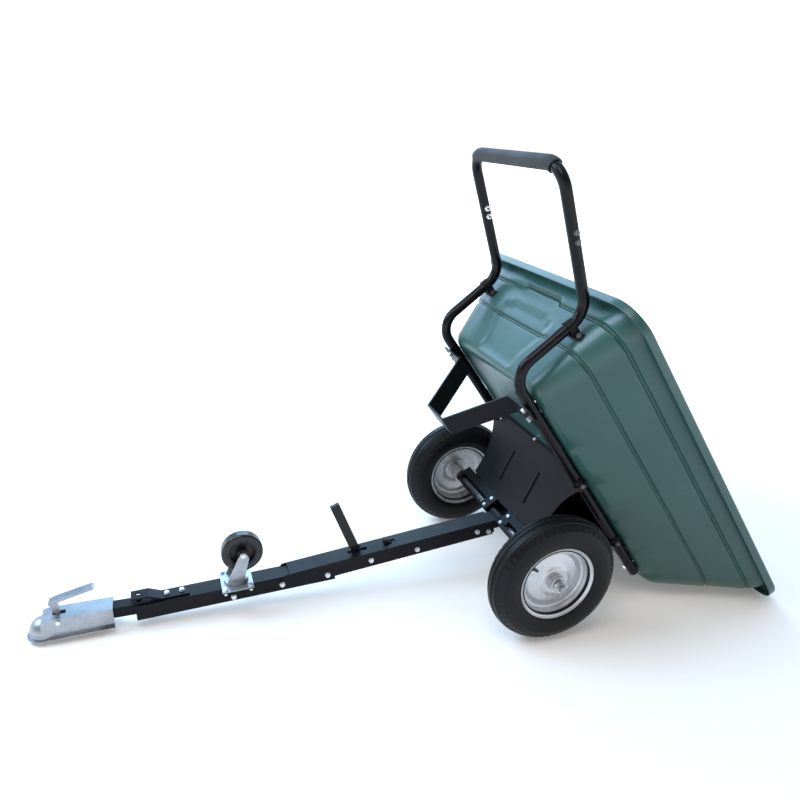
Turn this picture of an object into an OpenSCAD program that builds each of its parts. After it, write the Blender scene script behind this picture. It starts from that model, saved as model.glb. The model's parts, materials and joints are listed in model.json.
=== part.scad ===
// Tow-behind tipping cart with a plastic tub, shown in its dumping position.
// Axes: X runs from the coupler (-X) to the dump end (+X), Y across, Z up, floor at Z = 0.
// Parts that tip with the tub are drawn level, relative to the axle, inside tubf().
// Parts of the drawbar are drawn inside barf() (rear section) or frontf() (front section).

/* [Wheels] */
// Tyre outer diameter
tyre_d = 400; // [396:1:404]
// Tyre section width
tyre_w = 100; // [94:1:104]
// Distance between the two wheel centres
track = 705; // [700:1:720]

/* [Tub] */
// Tipping angle of the tub as drawn, degrees
tilt = 53.7; // [53.2:0.1:54.2]
// Wall thickness of the moulded tub
tub_wall = 4.5; // [4:0.5:5]
// Half width of the tub's rim
rim_half_w = 434; // [430:1:438]
// Height of the rim above the axle, tub level
rim_z = 562; // [560:1:566]

/* [Frame] */
// Outer diameter of the rail and handle tubes
tube_d = 32; // [31:0.5:32]
// Wall of the rail and handle tubes
tube_wall = 2; // [1.5:0.5:2.5]
// Sheet thickness of the pedestal panels
panel_t = 3; // [2.5:0.5:3]
// Width of the stand's flat strap
stand_w = 64; // [56:1:64]

/* [Drawbar] */
// Slope of the rear section as drawn, degrees
bar_pitch = 7.8; // [7.6:0.1:8]
// Width of the rear section
bar_w = 66; // [66:1:70]
// Wall of the rear section
bar_wall = 3; // [2:0.5:3]
// Diameter of the caster wheel
caster_d = 125; // [120:1:126]
// Diameter of the coupler's ball socket
ball_d = 50; // [50:0.2:50.4]

/* [Hidden] */
eps = 0.05;
wheel_r = tyre_d / 2;
axle_x = 318.9;
rod_r = 10;
run_c = 0.05;
wy = track / 2;

// tub outline
rim_low = 26;
rim_x0 = -615;
rim_x1 = (wheel_r + (rim_z - rim_low) * cos(tilt)) / sin(tilt);
tub_z0 = 252;
tub_z1 = 400;
tub_z2 = 500;

// rails and handle
rail_y = 262;
rail_z = 235.5;
tr = tube_d / 2;
ti = tr - tube_wall;
bend_r = 70;
low_x = -576;
up_x = -590;
up_z = 497;
rise = 17.66;
grip_s = 399;
joint_s = 246;
rail_x1 = 300;

// stand
st_x0 = -477;
st_x1 = st_x0 + stand_w;
st_z = 30;
st_t = 6;
st_top = rail_z - tr - 0.3;

// drawbar
bi = bar_w / 2 - bar_wall;
ft_w = 59.4;
ft_h = 48;
ft_t = 2.5;

steel_black = [0.05, 0.05, 0.055];
black_gloss = [0.03, 0.03, 0.035];
zinc = [0.72, 0.76, 0.8];
silver = [0.75, 0.76, 0.77];
rubber_c = [0.04, 0.04, 0.04];
green = [0.09, 0.26, 0.2];
bolt_c = [0.78, 0.79, 0.8];
plastic_c = [0.06, 0.06, 0.065];

// ---------------------------------------------------------------- frames

module tubf() {
  translate([axle_x, 0, wheel_r])
    rotate([0, tilt, 0])
      children();
}

module barf() {
  translate([axle_x, 0, wheel_r])
    rotate([0, -bar_pitch, 0])
      children();
}

// front section: origin on its centre line, near its front end
module frontf() {
  translate([axle_x - 1165, 0, 52.5])
    rotate([0, -4.1, 0])
      children();
}

// adapter tube of the coupler
module adaptf() {
  translate([axle_x - 1228, 0, 59.5])
    rotate([0, -1.15, 0])
      children();
}

// coupler: origin at the foot of its nose
module coupf() {
  translate([axle_x - 1470, 0, 0.2])
    rotate([0, -2.29, 0])
      children();
}

module both() {
  children();
  mirror([0, 1, 0])
    children();
}

// ---------------------------------------------------------------- helpers

module cyl_y(r, y0, y1, fn = 48) {
  translate([0, y0, 0])
    rotate([-90, 0, 0])
      cylinder(h = y1 - y0, r = r, $fn = fn);
}

module cyl_z(r, z0, z1, fn = 48) {
  translate([0, 0, z0])
    cylinder(h = z1 - z0, r = r, $fn = fn);
}

module block(x0, x1, y0, y1, z0, z1) {
  translate([x0, y0, z0])
    cube([x1 - x0, y1 - y0, z1 - z0]);
}

// a hexagon bolt: washer face at z = 0, head up, shank down
module hex_bolt(d, len) {
  cyl_z(d * 1.05, 0, 1.6);
  cyl_z(d * 0.96, 1.6 - eps, 1.6 + d * 0.62, 6);
  cyl_z(d / 2, -len, eps);
}

// a nut with its bearing face at z = 0, body below
module hex_nut(d) {
  difference() {
    union() {
      cyl_z(d * 1.05, -1.6, 0);
      cyl_z(d * 0.96, -1.6 - d * 0.8, -1.6 + eps, 6);
    }
    cyl_z(d / 2 + 0.05, -d * 2, 1);
  }
}

// turns +Z to -Y, so that a bolt's head stands on the near side
module head_near() {
  rotate([90, 0, 0])
    children();
}

// cross bolt along Y through a member of half width hw
module cross_bolt(d, hw) {
  translate([0, -hw - 0.2, 0])
    head_near()
      hex_bolt(d, 2 * hw + 1.6 + d + 3);
}

module cross_nut(d, hw) {
  translate([0, hw + 0.2, 0])
    head_near()
      hex_nut(d);
}

// straight tube from a to b in the XY plane
module leg(a, b, ro, ri) {
  v = b - a;
  translate([a[0], a[1], 0])
    rotate([0, 90, atan2(v[1], v[0])])
      difference() {
        cylinder(h = norm(v), r = ro, $fn = 48);
        translate([0, 0, -1])
          cylinder(h = norm(v) + 2, r = ri, $fn = 48);
      }
}

// bend from direction a1 to direction a2 (degrees), starting at p, in the XY plane
module elbow(p, a1, a2, rb, ro, ri) {
  s = a2 > a1 ? 1 : -1;
  c = [p[0] - s * rb * sin(a1), p[1] + s * rb * cos(a1)];
  start = s > 0 ? a1 - 90 : a2 + 90;
  translate([c[0], c[1], 0])
    rotate([0, 0, start])
      rotate_extrude(angle = abs(a2 - a1), $fn = 64)
        translate([rb, 0])
          difference() {
            circle(r = ro, $fn = 48);
            circle(r = ri, $fn = 48);
          }
}

function rr(x0, x1, hy, r, n = 6) = concat(
  [for (i = [0 : n]) let (a = 0 + 90 * i / n) [x1 - r + r * cos(a), hy - r + r * sin(a)]],
  [for (i = [0 : n]) let (a = 90 + 90 * i / n) [x0 + r + r * cos(a), hy - r + r * sin(a)]],
  [for (i = [0 : n]) let (a = 180 + 90 * i / n) [x0 + r + r * cos(a), -hy + r + r * sin(a)]],
  [for (i = [0 : n]) let (a = 270 + 90 * i / n) [x1 - r + r * cos(a), -hy + r + r * sin(a)]]
);

module slab(x0, x1, hy, r, z0, z1) {
  translate([0, 0, z0])
    linear_extrude(z1 - z0)
      polygon(rr(x0, x1, hy, r));
}

// one storey of the tub, shrunk by w
module storey(a, za, b, zb, w) {
  hull() {
    slab(a[0] + w, a[1] - w, a[2] - w, a[3] - w, za, za + 0.5);
    slab(b[0] + w, b[1] - w, b[2] - w, b[3] - w, zb - 0.5, zb);
  }
}

// ---------------------------------------------------------------- tub

// x0, x1, half width, corner radius of each outline
o0 = [-505, 388, 288, 60];
o1 = [-541, 508, 345, 75];
o2 = [-548, 515, 352, 80];
o3 = [-567, 591, 386, 84];
o4 = [-574, 598, 393, 86];
o5 = [-584, rim_x1 - 24, rim_half_w - 23, 82];

module tub_cuts() {
  for (m = [-1, 1])
    for (s = [-1, 1])
      translate([clip_wall, m * rail_y + s * (tr + 13), clip_z])
        rotate([0, 90, 0])
          cyl_z(4.3, -10, 14, 24);
  for (x = [-463, -427])
    for (s = [-1, 1])
      translate([x, s * rail_y, 0])
        cyl_z(4.3, tub_z0 - 5, tub_z0 + 15, 24);
  for (s = [-1, 1])
    translate([rail_x1 - 40, s * rail_y, 0])
      cyl_z(4.3, tub_z0 - 5, tub_z0 + 15, 24);
  for (m = [-1, 1])
    for (y = [-222, 0, 222])
      translate([m * 160, y, 0])
        cyl_z(4.3, tub_z0 - 5, tub_z0 + 15, 24);
}

module tub() {
  color(green)
    tubf()
      difference() {
        union() {
          storey(o0, tub_z0, o1, tub_z1, 0);
          storey(o2, tub_z1, o3, tub_z2, 0);
          storey(o4, tub_z2, o5, rim_z, 0);
          slab(rim_x0, rim_x1, rim_half_w, 98, rim_z - rim_low, rim_z);
        }
        storey(o0, tub_z0 + tub_wall, o1, tub_z1 + tub_wall, tub_wall);
        storey(o2, tub_z1 + tub_wall, o3, tub_z2 + tub_wall, tub_wall);
        storey(o4, tub_z2 + tub_wall, o5, rim_z + 2, tub_wall);
        difference() {
          slab(rim_x0 + 4, rim_x1 - 4, rim_half_w - 4, 94, rim_z - rim_low - 5, rim_z - 4);
          slab(o5[0] - 1, o5[1] + 1, o5[2] + 1, 83, rim_z - rim_low - 6, rim_z);
        }
        tub_cuts();
      }
}

// ---------------------------------------------------------------- rails, handle

// side view of the lower tube: x to the right, y up in the tub's level frame
up_a = 90 + atan((low_x - up_x) / (up_z - rail_z));
t1 = bend_r * tan((180 - up_a) / 2);
p1 = [low_x, rail_z];
p2 = [up_x, up_z];
d2 = [cos(up_a), sin(up_a)];
up_b = 180 - rise;
t2 = bend_r * tan((up_b - up_a) / 2);
d3 = [cos(up_b), sin(up_b)];
// the bends are a hair thicker than the legs that run a little way into them
lap = 2;
swell = 0.12;

module low_tube_cuts() {
  for (s = [200, 226])
    translate([p2[0] + d3[0] * s, 0, p2[1] + d3[1] * s])
      cyl_y(4.25, -40, 40, 24);
  for (x = [-463, -427, rail_x1 - 40])
    translate([x, 0, 0])
      cyl_z(4.25, rail_z - 30, rail_z + 30, 24);
  for (x = [-136, 136])
    translate([x, 0, rail_z])
      cyl_y(4.25, -40, 40, 24);
}

module low_tube() {
  difference() {
    rotate([90, 0, 0])
      union() {
        leg([rail_x1, rail_z], [p1[0] + t1 - lap, rail_z], tr, ti);
        elbow([p1[0] + t1, rail_z], 180, up_a, bend_r, tr + swell, ti - swell);
        leg(p1 + d2 * (t1 - lap), p2 - d2 * (t2 - lap), tr, ti);
        elbow(p2 - d2 * t2, up_a, up_b, bend_r, tr + swell, ti - swell);
        leg(p2 + d3 * (t2 - lap), p2 + d3 * joint_s, tr, ti);
      }
    low_tube_cuts();
  }
}

module rail_left() {
  color(black_gloss)
    tubf()
      translate([0, rail_y, 0])
        low_tube();
}

module rail_right() {
  color(black_gloss)
    tubf()
      translate([0, -rail_y, 0])
        low_tube();
}

// plane of the upper handle: local x runs up the slope, y across
module slopef() {
  tubf()
    translate([p2[0], 0, p2[1]])
      rotate([0, 180 + rise, 0])
        children();
}

module loop_half(ro, ri) {
  leg([joint_s + 0.4, rail_y], [grip_s - 65, rail_y], ro, ri);
  elbow([grip_s - 65, rail_y], 0, -90, 65, ro, ri);
}

module handle_loop() {
  color(black_gloss)
    slopef()
      difference() {
        union() {
          loop_half(tr, ti);
          mirror([0, 1, 0])
            loop_half(tr, ti);
          leg([grip_s, -rail_y + 65], [grip_s, rail_y - 65], tr, ti);
          leg([joint_s - 70, rail_y], [joint_s + 6, rail_y], ti - 0.15, ti - 2.2);
          leg([joint_s - 70, -rail_y], [joint_s + 6, -rail_y], ti - 0.15, ti - 2.2);
          leg([joint_s + 0.4, rail_y], [joint_s + 6, rail_y], tr, ti - 1);
          leg([joint_s + 0.4, -rail_y], [joint_s + 6, -rail_y], tr, ti - 1);
        }
        for (s = [200, 226])
          translate([s, 0, 0])
            cyl_y(4.25, -300, 300, 24);
      }
}

module handle_grip() {
  color(rubber_c)
    slopef()
      difference() {
        union() {
          leg([grip_s, -rail_y + 65], [grip_s, rail_y - 65], tr + 4.5, tr + 0.1);
          for (s = [-1, 1])
            elbow_grip(s);
        }
      }
}

module elbow_grip(s) {
  if (s > 0)
    elbow([grip_s - 65 * (1 - sin(62)), rail_y - 65 * (1 - cos(62))],
          -62, -90, 65, tr + 4.5, tr + 0.1);
  if (s < 0)
    mirror([0, 1, 0])
      elbow([grip_s - 65 * (1 - sin(62)), rail_y - 65 * (1 - cos(62))],
            -62, -90, 65, tr + 4.5, tr + 0.1);
}

module handle_bolts() {
  color(bolt_c)
    slopef()
      for (s = [200, 226])
        both()
          translate([s, -rail_y - tr - 0.2, 0])
            head_near()
              hex_bolt(8, tube_d + 11);
}

module handle_nuts() {
  color(bolt_c)
    slopef()
      for (s = [200, 226])
        both()
          translate([s, -rail_y + tr + 0.2, 0])
            head_near()
              hex_nut(8);
}

// clips that tie each upright of the handle to the tub's front wall
clip_z = 440;
clip_x = p2[0] - (up_z - clip_z) * (up_x - low_x) / (up_z - rail_z);
clip_wall = -548 - (clip_z - tub_z1) * 0.19;
lean = atan((low_x - up_x) / (up_z - rail_z));

module clip() {
  translate([0, 0, clip_z - 12])
    linear_extrude(24)
      difference() {
        union() {
          translate([clip_x, 0])
            circle(r = tr + 3.4, $fn = 48);
          translate([clip_x, -tr - 3.4])
            square([clip_wall - 3.6 - clip_x, 2 * tr + 6.8]);
          translate([clip_wall - 6.6, -tr - 22])
            square([3, 2 * tr + 44]);
        }
        translate([clip_x, 0])
          circle(r = tr + 0.3, $fn = 48);
        translate([clip_x + 2, -tr - 0.3])
          square([clip_wall - 6.6 - clip_x - 2, 2 * tr + 0.6]);
      }
}

module tube_clips() {
  color(steel_black)
    tubf()
      both()
        translate([0, -rail_y, 0])
          difference() {
            clip();
            translate([clip_x, 0, clip_z])
              rotate([0, -lean, 0])
                cyl_z(tr + 0.4, -40, 40);
            for (s = [-1, 1])
              translate([clip_wall, s * (tr + 13), clip_z])
                rotate([0, 90, 0])
                  cyl_z(4.25, -30, 20, 24);
          }
}

module clip_bolts() {
  color(bolt_c)
    tubf()
      both()
        for (s = [-1, 1])
          translate([clip_wall - 6.8, -rail_y + s * (tr + 13), clip_z])
            rotate([0, -90, 0])
              hex_bolt(8, 27);
}

module clip_nuts() {
  color(bolt_c)
    tubf()
      both()
        for (s = [-1, 1])
          translate([clip_wall + 9.4, -rail_y + s * (tr + 13), clip_z])
            rotate([0, -90, 0])
              hex_nut(8);
}

// ---------------------------------------------------------------- stand

arm_a = atan2(st_top - st_z, 178 - 60);

module stand_outline() {
  // bottom flat, two arms, two feet under the rails
  difference() {
    union() {
      polygon([[-60, st_z], [60, st_z], [178, st_top - st_t], [300, st_top - st_t],
               [300, st_top], [174.6, st_top], [57, st_z + st_t], [-57, st_z + st_t],
               [-174.6, st_top], [-300, st_top], [-300, st_top - st_t],
               [-178, st_top - st_t]]);
    }
  }
}

module stand() {
  color(steel_black)
    tubf()
      difference() {
        translate([st_x0, 0, 0])
          rotate([90, 0, 90])
            linear_extrude(stand_w)
              stand_outline();
        for (x = [-463, -427])
          for (s = [-1, 1])
            translate([x, s * rail_y, 0])
              cyl_z(4.25, st_top - 20, st_top + 5, 24);
      }
}

module stand_bolts() {
  color(bolt_c)
    tubf()
      for (x = [-463, -427])
        for (s = [-1, 1])
          translate([x, s * rail_y, st_top - st_t - 0.2])
            rotate([180, 0, 0])
              hex_bolt(8, tub_z0 + tub_wall + 14 - st_top + st_t);
}

module rail_end_bolts() {
  color(bolt_c)
    tubf()
      for (s = [-1, 1])
        translate([rail_x1 - 40, s * rail_y, rail_z - tr - 0.4])
          rotate([180, 0, 0])
            hex_bolt(8, tub_z0 + tub_wall + 14 - rail_z + tr);
}

module rail_tub_nuts() {
  color(bolt_c)
    tubf()
      for (s = [-1, 1])
        for (x = [-463, -427, rail_x1 - 40])
          translate([x, s * rail_y, tub_z0 + tub_wall + 0.2])
            rotate([180, 0, 0])
              hex_nut(8);
}

// ---------------------------------------------------------------- pedestal

pan_a = 60;
pan_x0 = -33;
pan_z0 = 46.2;
pan_top = tub_z0 - 0.4;
pan_len = (pan_top - pan_z0) / sin(pan_a);
rail_s = (rail_z - pan_z0) / sin(pan_a);

// outline of the sloping sheet: x across, y up the slope
module pan_flat() {
  difference() {
    translate([-304, 0])
      square([608, pan_len - 2.2]);
    for (s = [-1, 1]) {
      // notch for the rail
      translate([s * rail_y, rail_s - 3.2])
        circle(r = tr + 1.2, $fn = 48);
      translate([s * rail_y - tr - 0.8, rail_s - 2.6])
        square([2 * tr + 1.6, 60]);
      // hollow side edge that clears the tyre
      translate([s * 430, 60])
        circle(r = 200, $fn = 96);
    }
  }
}

module rib(y) {
  translate([y - 5, 46, -4])
    cube([10, 112, 4.2]);
}

module panel() {
  difference() {
    union() {
      // sloping sheet with two pressed ribs, relieved around the rail bolts
      difference() {
        translate([pan_x0, 0, pan_z0])
          rotate([0, 0, 90])
            rotate([pan_a, 0, 0])
              union() {
                linear_extrude(panel_t)
                  pan_flat();
                rib(84);
                rib(-84);
              }
        both()
          translate([-136, rail_y, rail_z])
            cyl_y(9.6, -30, 45);
      }
      // foot flange on the axle channel
      block(pan_x0, -6, -225, 225, pan_z0 - panel_t, pan_z0 + 0.8);
      // upper flange under the tub
      block(pan_x0 - pan_len * cos(pan_a) - 26, pan_x0 - pan_len * cos(pan_a) + 2,
            -240, 240, pan_top - panel_t, pan_top);
      // tabs beside the rails
      for (s = [-1, 1])
        translate([0, s * (rail_y + tr + 0.4 + panel_t / 2), 0])
          block(-156, -118, -panel_t / 2, panel_t / 2, rail_z - 12, rail_z + 12);
    }
    for (y = [-222, 0, 222])
      translate([-160, y, 0])
        cyl_z(4.25, 230, 270, 24);
    for (y = [-200, -90, 90, 200])
      translate([-17, y, 0])
        cyl_z(4.25, 30, 60, 24);
    for (s = [-1, 1])
      translate([-136, s * (rail_y + tr), rail_z])
        cyl_y(4.25, -10, 20, 24);
  }
}

module panel_front() {
  color(steel_black)
    tubf()
      panel();
}

module panel_rear() {
  color(steel_black)
    tubf()
      mirror([1, 0, 0])
        panel();
}

module panel_tub_bolts() {
  color(bolt_c)
    tubf()
      for (m = [-1, 1])
        for (y = [-222, 0, 222])
          translate([m * 160, y, pan_top - panel_t - 0.2])
            rotate([180, 0, 0])
              hex_bolt(8, panel_t + tub_wall + 13);
}

module panel_tub_nuts() {
  color(bolt_c)
    tubf()
      for (m = [-1, 1])
        for (y = [-222, 0, 222])
          translate([m * 160, y, tub_z0 + tub_wall + 0.2])
            rotate([180, 0, 0])
              hex_nut(8);
}

module panel_rail_bolts() {
  color(bolt_c)
    tubf()
      for (m = [-1, 1])
        both()
          translate([m * 136, -rail_y - tr - 0.6 - panel_t, rail_z])
            head_near()
              hex_bolt(8, tube_d + panel_t + 11);
}

module panel_rail_nuts() {
  color(bolt_c)
    tubf()
      for (m = [-1, 1])
        both()
          translate([m * 136, -rail_y + tr + 0.2, rail_z])
            head_near()
              hex_nut(8);
}

// ---------------------------------------------------------------- axle

ch_x = 27;
ch_t = 4;
ch_z0 = -18;
ch_z1 = 43;
ch_y = 288;

module axle_channel() {
  color(steel_black)
    tubf()
      difference() {
        union() {
          block(-ch_x, ch_x, -ch_y, ch_y, ch_z1 - ch_t, ch_z1);
          block(-ch_x, -ch_x + ch_t, -ch_y, ch_y, ch_z0, ch_z1);
          block(ch_x - ch_t, ch_x, -ch_y, ch_y, ch_z0, ch_z1);
          for (s = [-1, 1])
            translate([0, s * (ch_y - 3), 0])
              block(-ch_x, ch_x, -3, 3, ch_z0, ch_z1);
        }
        // opening for the drawbar
        block(-ch_x - 5, -ch_x + ch_t + 2, -43, 43, ch_z0 - 5, ch_z1 - 6);
        // long windows in the front web, where the axle rod shows
        for (m = [-1, 1])
          translate([0, m * 179, 0])
            block(-ch_x - 5, -ch_x + ch_t + 2, -95, 95, -9, 13);
        cyl_y(rod_r + 0.1, -300, 300);
        for (x = [-17, 17])
          for (y = [-200, -90, 90, 200])
            translate([x, y, 0])
              cyl_z(4.25, 30, 60, 24);
        for (y = [-62, 62])
          for (z = [-8, 24])
            translate([0, y, z])
              rotate([0, 90, 0])
                cyl_z(3.25, -40, 40, 24);
      }
}

module panel_base_bolts() {
  color(bolt_c)
    tubf()
      for (x = [-17, 17])
        for (y = [-200, -90, 90, 200])
          translate([x, y, ch_z1 - ch_t - 0.2])
            rotate([180, 0, 0])
              union() {
                cyl_z(5.6, 0, 5);
                cyl_z(4, -ch_t - panel_t - 12, eps);
              }
}

module panel_base_nuts() {
  color(bolt_c)
    tubf()
      for (x = [-17, 17])
        for (y = [-200, -90, 90, 200])
          translate([x, y, pan_z0 + 0.8])
            difference() {
              cyl_z(6, 0, 6, 6);
              cyl_z(4.05, -2, 10, 24);
            }
}

module axle_rod() {
  color(zinc)
    tubf()
      difference() {
        cyl_y(rod_r, -wy - 68, wy + 68);
        for (s = [-1, 1])
          translate([0, s * (wy + 64), 0])
            cyl_z(1.9, -20, 20, 24);
      }
}

// two bearing brackets beside the drawbar
module axle_brackets() {
  color(steel_black)
    tubf()
      both()
        difference() {
          union() {
            block(-ch_x + ch_t + 0.2, ch_x - ch_t - 0.2, 46, 50, ch_z0, ch_z1 - ch_t - 0.2);
            block(-ch_x + ch_t + 0.2, -ch_x + ch_t + 3.4, 46, 76, ch_z0, ch_z1 - ch_t - 0.2);
            block(ch_x - ch_t - 3.4, ch_x - ch_t - 0.2, 46, 76, ch_z0, ch_z1 - ch_t - 0.2);
          }
          cyl_y(rod_r + 0.1, 30, 90);
          for (z = [-8, 24])
            translate([0, 62, z])
              rotate([0, 90, 0])
                cyl_z(3.25, -40, 40, 24);
        }
}

module bracket_bolts() {
  color(bolt_c)
    tubf()
      both()
        for (m = [-1, 1])
          for (z = [-8, 24])
            translate([m * (ch_x + 0.2), 62, z])
              rotate([0, m * 90, 0])
                union() {
                  cyl_z(6.4, 0, 1.4);
                  cyl_z(5.6, 1.3, 5, 6);
                  cyl_z(3, -9.5, eps);
                }
}

// ---------------------------------------------------------------- wheels

bead_r = 113;

module tyre_shape() {
  k = tyre_w / 2;
  difference() {
    union() {
      translate([wheel_r - k, 0])
        circle(r = k, $fn = 96);
      translate([bead_r - 8.6, -33.6])
        square([12, 9]);
      translate([bead_r - 8.6, 24.6])
        square([12, 9]);
    }
    translate([wheel_r - k, 0])
      circle(r = k - 8, $fn = 96);
    translate([0, -24.6])
      square([wheel_r - k, 49.2]);
    translate([0, -80])
      square([bead_r - 8.6, 160]);
    translate([bead_r - 20, 33.6])
      square([22.3, 30]);
    translate([bead_r - 20, -63.6])
      square([22.3, 30]);
    for (s = [-1, 1])
      translate([bead_r + 2.4, s * 37])
        circle(r = 3.5, $fn = 24);
    for (y = [-28, -10, 10, 28])
      translate([wheel_r - 5 - abs(y) * 0.32, y - 2.5])
        square([20, 5]);
  }
}

module rim_shape() {
  difference() {
    union() {
      // barrel and flanges
      translate([bead_r - 12, -38])
        square([3.2, 76]);
      translate([bead_r - 12, 34.2])
        square([14, 3]);
      translate([bead_r - 12, -37.2])
        square([14, 3]);
      translate([bead_r + 2.4, 37])
        circle(r = 3.2, $fn = 24);
      translate([bead_r + 2.4, -37])
        circle(r = 3.2, $fn = 24);
    }
    translate([bead_r - 8.6, -33.8])
      square([40, 67.6]);
  }
}

// dished disc, outer face towards +y
module disc_shape() {
  polygon([[25.9, 22], [44, 22], [58, 4], [78, 4], [88, -6], [103, -6],
           [103, -9.2], [86.6, -9.2], [76.6, 0.8], [56.4, 0.8], [42.4, 18.8], [25.9, 18.8]]);
}

module wheelf(s) {
  tubf()
    translate([0, s * wy, 0])
      rotate([0, 0, s > 0 ? 0 : 180])
        children();
}

module spin_y() {
  rotate([-90, 0, 0])
    rotate_extrude($fn = 96)
      children();
}

module tyre(s) {
  color(rubber_c)
    wheelf(s)
      spin_y()
        tyre_shape();
}

module rim(s) {
  color(silver)
    wheelf(s)
      difference() {
        union() {
          spin_y()
            rim_shape();
          spin_y()
            disc_shape();
        }
        valve_hole();
      }
}

module valve_hole() {
  rotate([0, 20, 0])
    translate([60, 16, 0])
      rotate([0, 90, 0])
        cyl_z(5.1, 0, 60, 24);
}

module hub(s) {
  color(zinc)
    wheelf(s)
      difference() {
        union() {
          cyl_y(25.8, -44, 44);
        }
        cyl_y(21, -60, -31.9);
        cyl_y(21, 31.9, 60);
        cyl_y(15, -60, 60);
      }
}

module bearings(s) {
  color(silver)
    wheelf(s)
      for (m = [-1, 1])
        translate([0, m * 38, 0])
          difference() {
            cyl_y(20.9, -6, 6);
            cyl_y(rod_r + run_c, -8, 8);
            for (k = [-1, 1])
              translate([0, k * 6, 0])
                difference() {
                  cyl_y(18, -0.6, 0.6);
                  cyl_y(13, -1, 1);
                }
          }
}

module valve(s) {
  color(rubber_c)
    wheelf(s)
      rotate([0, 20, 0])
        translate([60, 16, 0])
          rotate([0, 90, 0])
            union() {
              cyl_z(4, 10, 44, 24);
              cyl_z(5, 26, 52, 24);
              cyl_z(8, 44.4, 48, 24);
            }
}

module axle_spacers() {
  color(zinc)
    tubf()
      both()
        difference() {
          cyl_y(14, ch_y + 0.3, wy - 44.4);
          cyl_y(rod_r + 0.06, 200, 400);
        }
}

module axle_nuts() {
  color(bolt_c)
    tubf()
      both()
        difference() {
          union() {
            cyl_y(17, wy + 44.6, wy + 47.2);
            cyl_y(15.5, wy + 47, wy + 60, 6);
          }
          cyl_y(rod_r + 0.06, wy, wy + 100);
        }
}

module split_pins() {
  color(zinc)
    tubf()
      both()
        translate([0, wy + 64, 0])
          union() {
            cyl_z(1.6, -14, 12, 24);
            translate([0, 0, 14.6])
              difference() {
                cyl_y(4.4, -1.3, 1.3, 24);
                cyl_y(1.9, -3, 3, 24);
              }
          }
}

// ---------------------------------------------------------------- drawbar

sl_y = 7.5;
latch_px = -460;
latch_pz = -13.4;
bar_x0 = -755;
bar_top_x = -720;
bar_x1 = -37;

module bar_cross(x, z) {
  translate([x, 0, z])
    cyl_y(4.25, -60, 60, 24);
}

// positions of the two joint bolts in the front section's frame
jx1 = 1165 - 738;
jx2 = 1165 - 594;

module drawbar_rear() {
  color(steel_black)
    difference() {
      barf()
        difference() {
          block(bar_x0, bar_x1, -bar_w / 2, bar_w / 2, -37, 13);
          block(bar_x0 - 5, bar_x1 + 5, -bi, bi, -45, 13 - bar_wall);
          block(bar_x0 - 5, bar_top_x, -bi, bi, 0, 20);
          // raked front ends of the side walls
          translate([bar_x0, 0, 13])
            rotate([0, 45, 0])
              cube([30, 100, 30], center = true);
          block(-526, -462, -sl_y, sl_y, 0, 20);
          block(-406, -366, -11, 11, 0, 20);
          bar_cross(latch_px, latch_pz);
          bar_cross(-304, -18);
          bar_cross(-52, -22);
          bar_cross(-92, -12);
        }
      frontf()
        for (x = [jx1, jx2])
          bar_cross(x, 0);
    }
}

module drawbar_front() {
  color(steel_black)
    frontf()
      difference() {
        block(-5, 595, -ft_w / 2, ft_w / 2, -ft_h / 2, ft_h / 2);
        block(-10, 600, -ft_w / 2 + ft_t, ft_w / 2 - ft_t, -ft_h / 2 + ft_t, ft_h / 2 - ft_t);
        // open top at the mouth, for the coupler tube
        block(-10, 80, -ft_w / 2 + ft_t, ft_w / 2 - ft_t, 0, ft_h);
        for (x = [jx1, jx2])
          bar_cross(x, 0);
        bar_cross(278, -8);
        translate([6, 0, 0])
          cyl_z(8.2, -60, 0);
        for (x = [87, 131])
          translate([x, 0, 0])
            cyl_z(4.6, -40, 40, 24);
      }
}

module joint_bolts() {
  color(bolt_c)
    frontf()
      for (x = [jx1, jx2])
        translate([x, 0, 0])
          cross_bolt(8, bar_w / 2);
}

module joint_nuts() {
  color(bolt_c)
    frontf()
      for (x = [jx1, jx2])
        translate([x, 0, 0])
          cross_nut(8, bar_w / 2);
}

module coupler_tube() {
  color(steel_black)
    difference() {
      adaptf()
        difference() {
          block(-122, 262, -19, 19, -17, 17);
          block(-130, 270, -16.5, 16.5, -14.5, 14.5);
        }
      frontf()
        for (x = [87, 131])
          translate([x, 0, 0])
            cyl_z(4.6, -40, 40, 24);
      frontf()
        translate([6, 0, 0])
          cyl_z(8.2, -60, 60);
    }
}

// cranked strap that makes a pin hitch over the mouth of the drawbar
module hitch_strap() {
  color(steel_black)
    frontf()
      difference() {
        translate([0, 21, 24.3])
          rotate([90, 0, 0])
            linear_extrude(42)
              polygon([[-14, 17], [-14, 22.5], [36, 22.5], [72, 5.5], [152, 5.5], [152, 0],
                       [70.5, 0], [35, 17]]);
        for (x = [87, 131])
          translate([x, 0, 0])
            cyl_z(4.25, 0, 60, 24);
        translate([6, 0, 0])
          cyl_z(8.2, 20, 80);
      }
}

module strap_bolts() {
  color(bolt_c)
    frontf()
      for (x = [87, 131])
        translate([x, 0, 30])
          hex_bolt(8, 66);
}

module strap_nuts() {
  color(bolt_c)
    frontf()
      for (x = [87, 131])
        translate([x, 0, -24.2])
          hex_nut(8);
}

// ---------------------------------------------------------------- coupler

cb_x = 46;
cb_z = 32;
cw = 3.5;
// foot and roof of the coupler's body
cf_z = 12;
cr_z = 73.2;

module coup_plan(w) {
  difference() {
    union() {
      translate([cb_x, 0])
        circle(r = 40 - w, $fn = 64);
      polygon([[cb_x, 40 - w], [cb_x + 34, 33 - w], [240, 30 - w], [240, -30 + w],
               [cb_x + 34, -33 + w], [cb_x, -40 + w]]);
    }
  }
}

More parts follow.
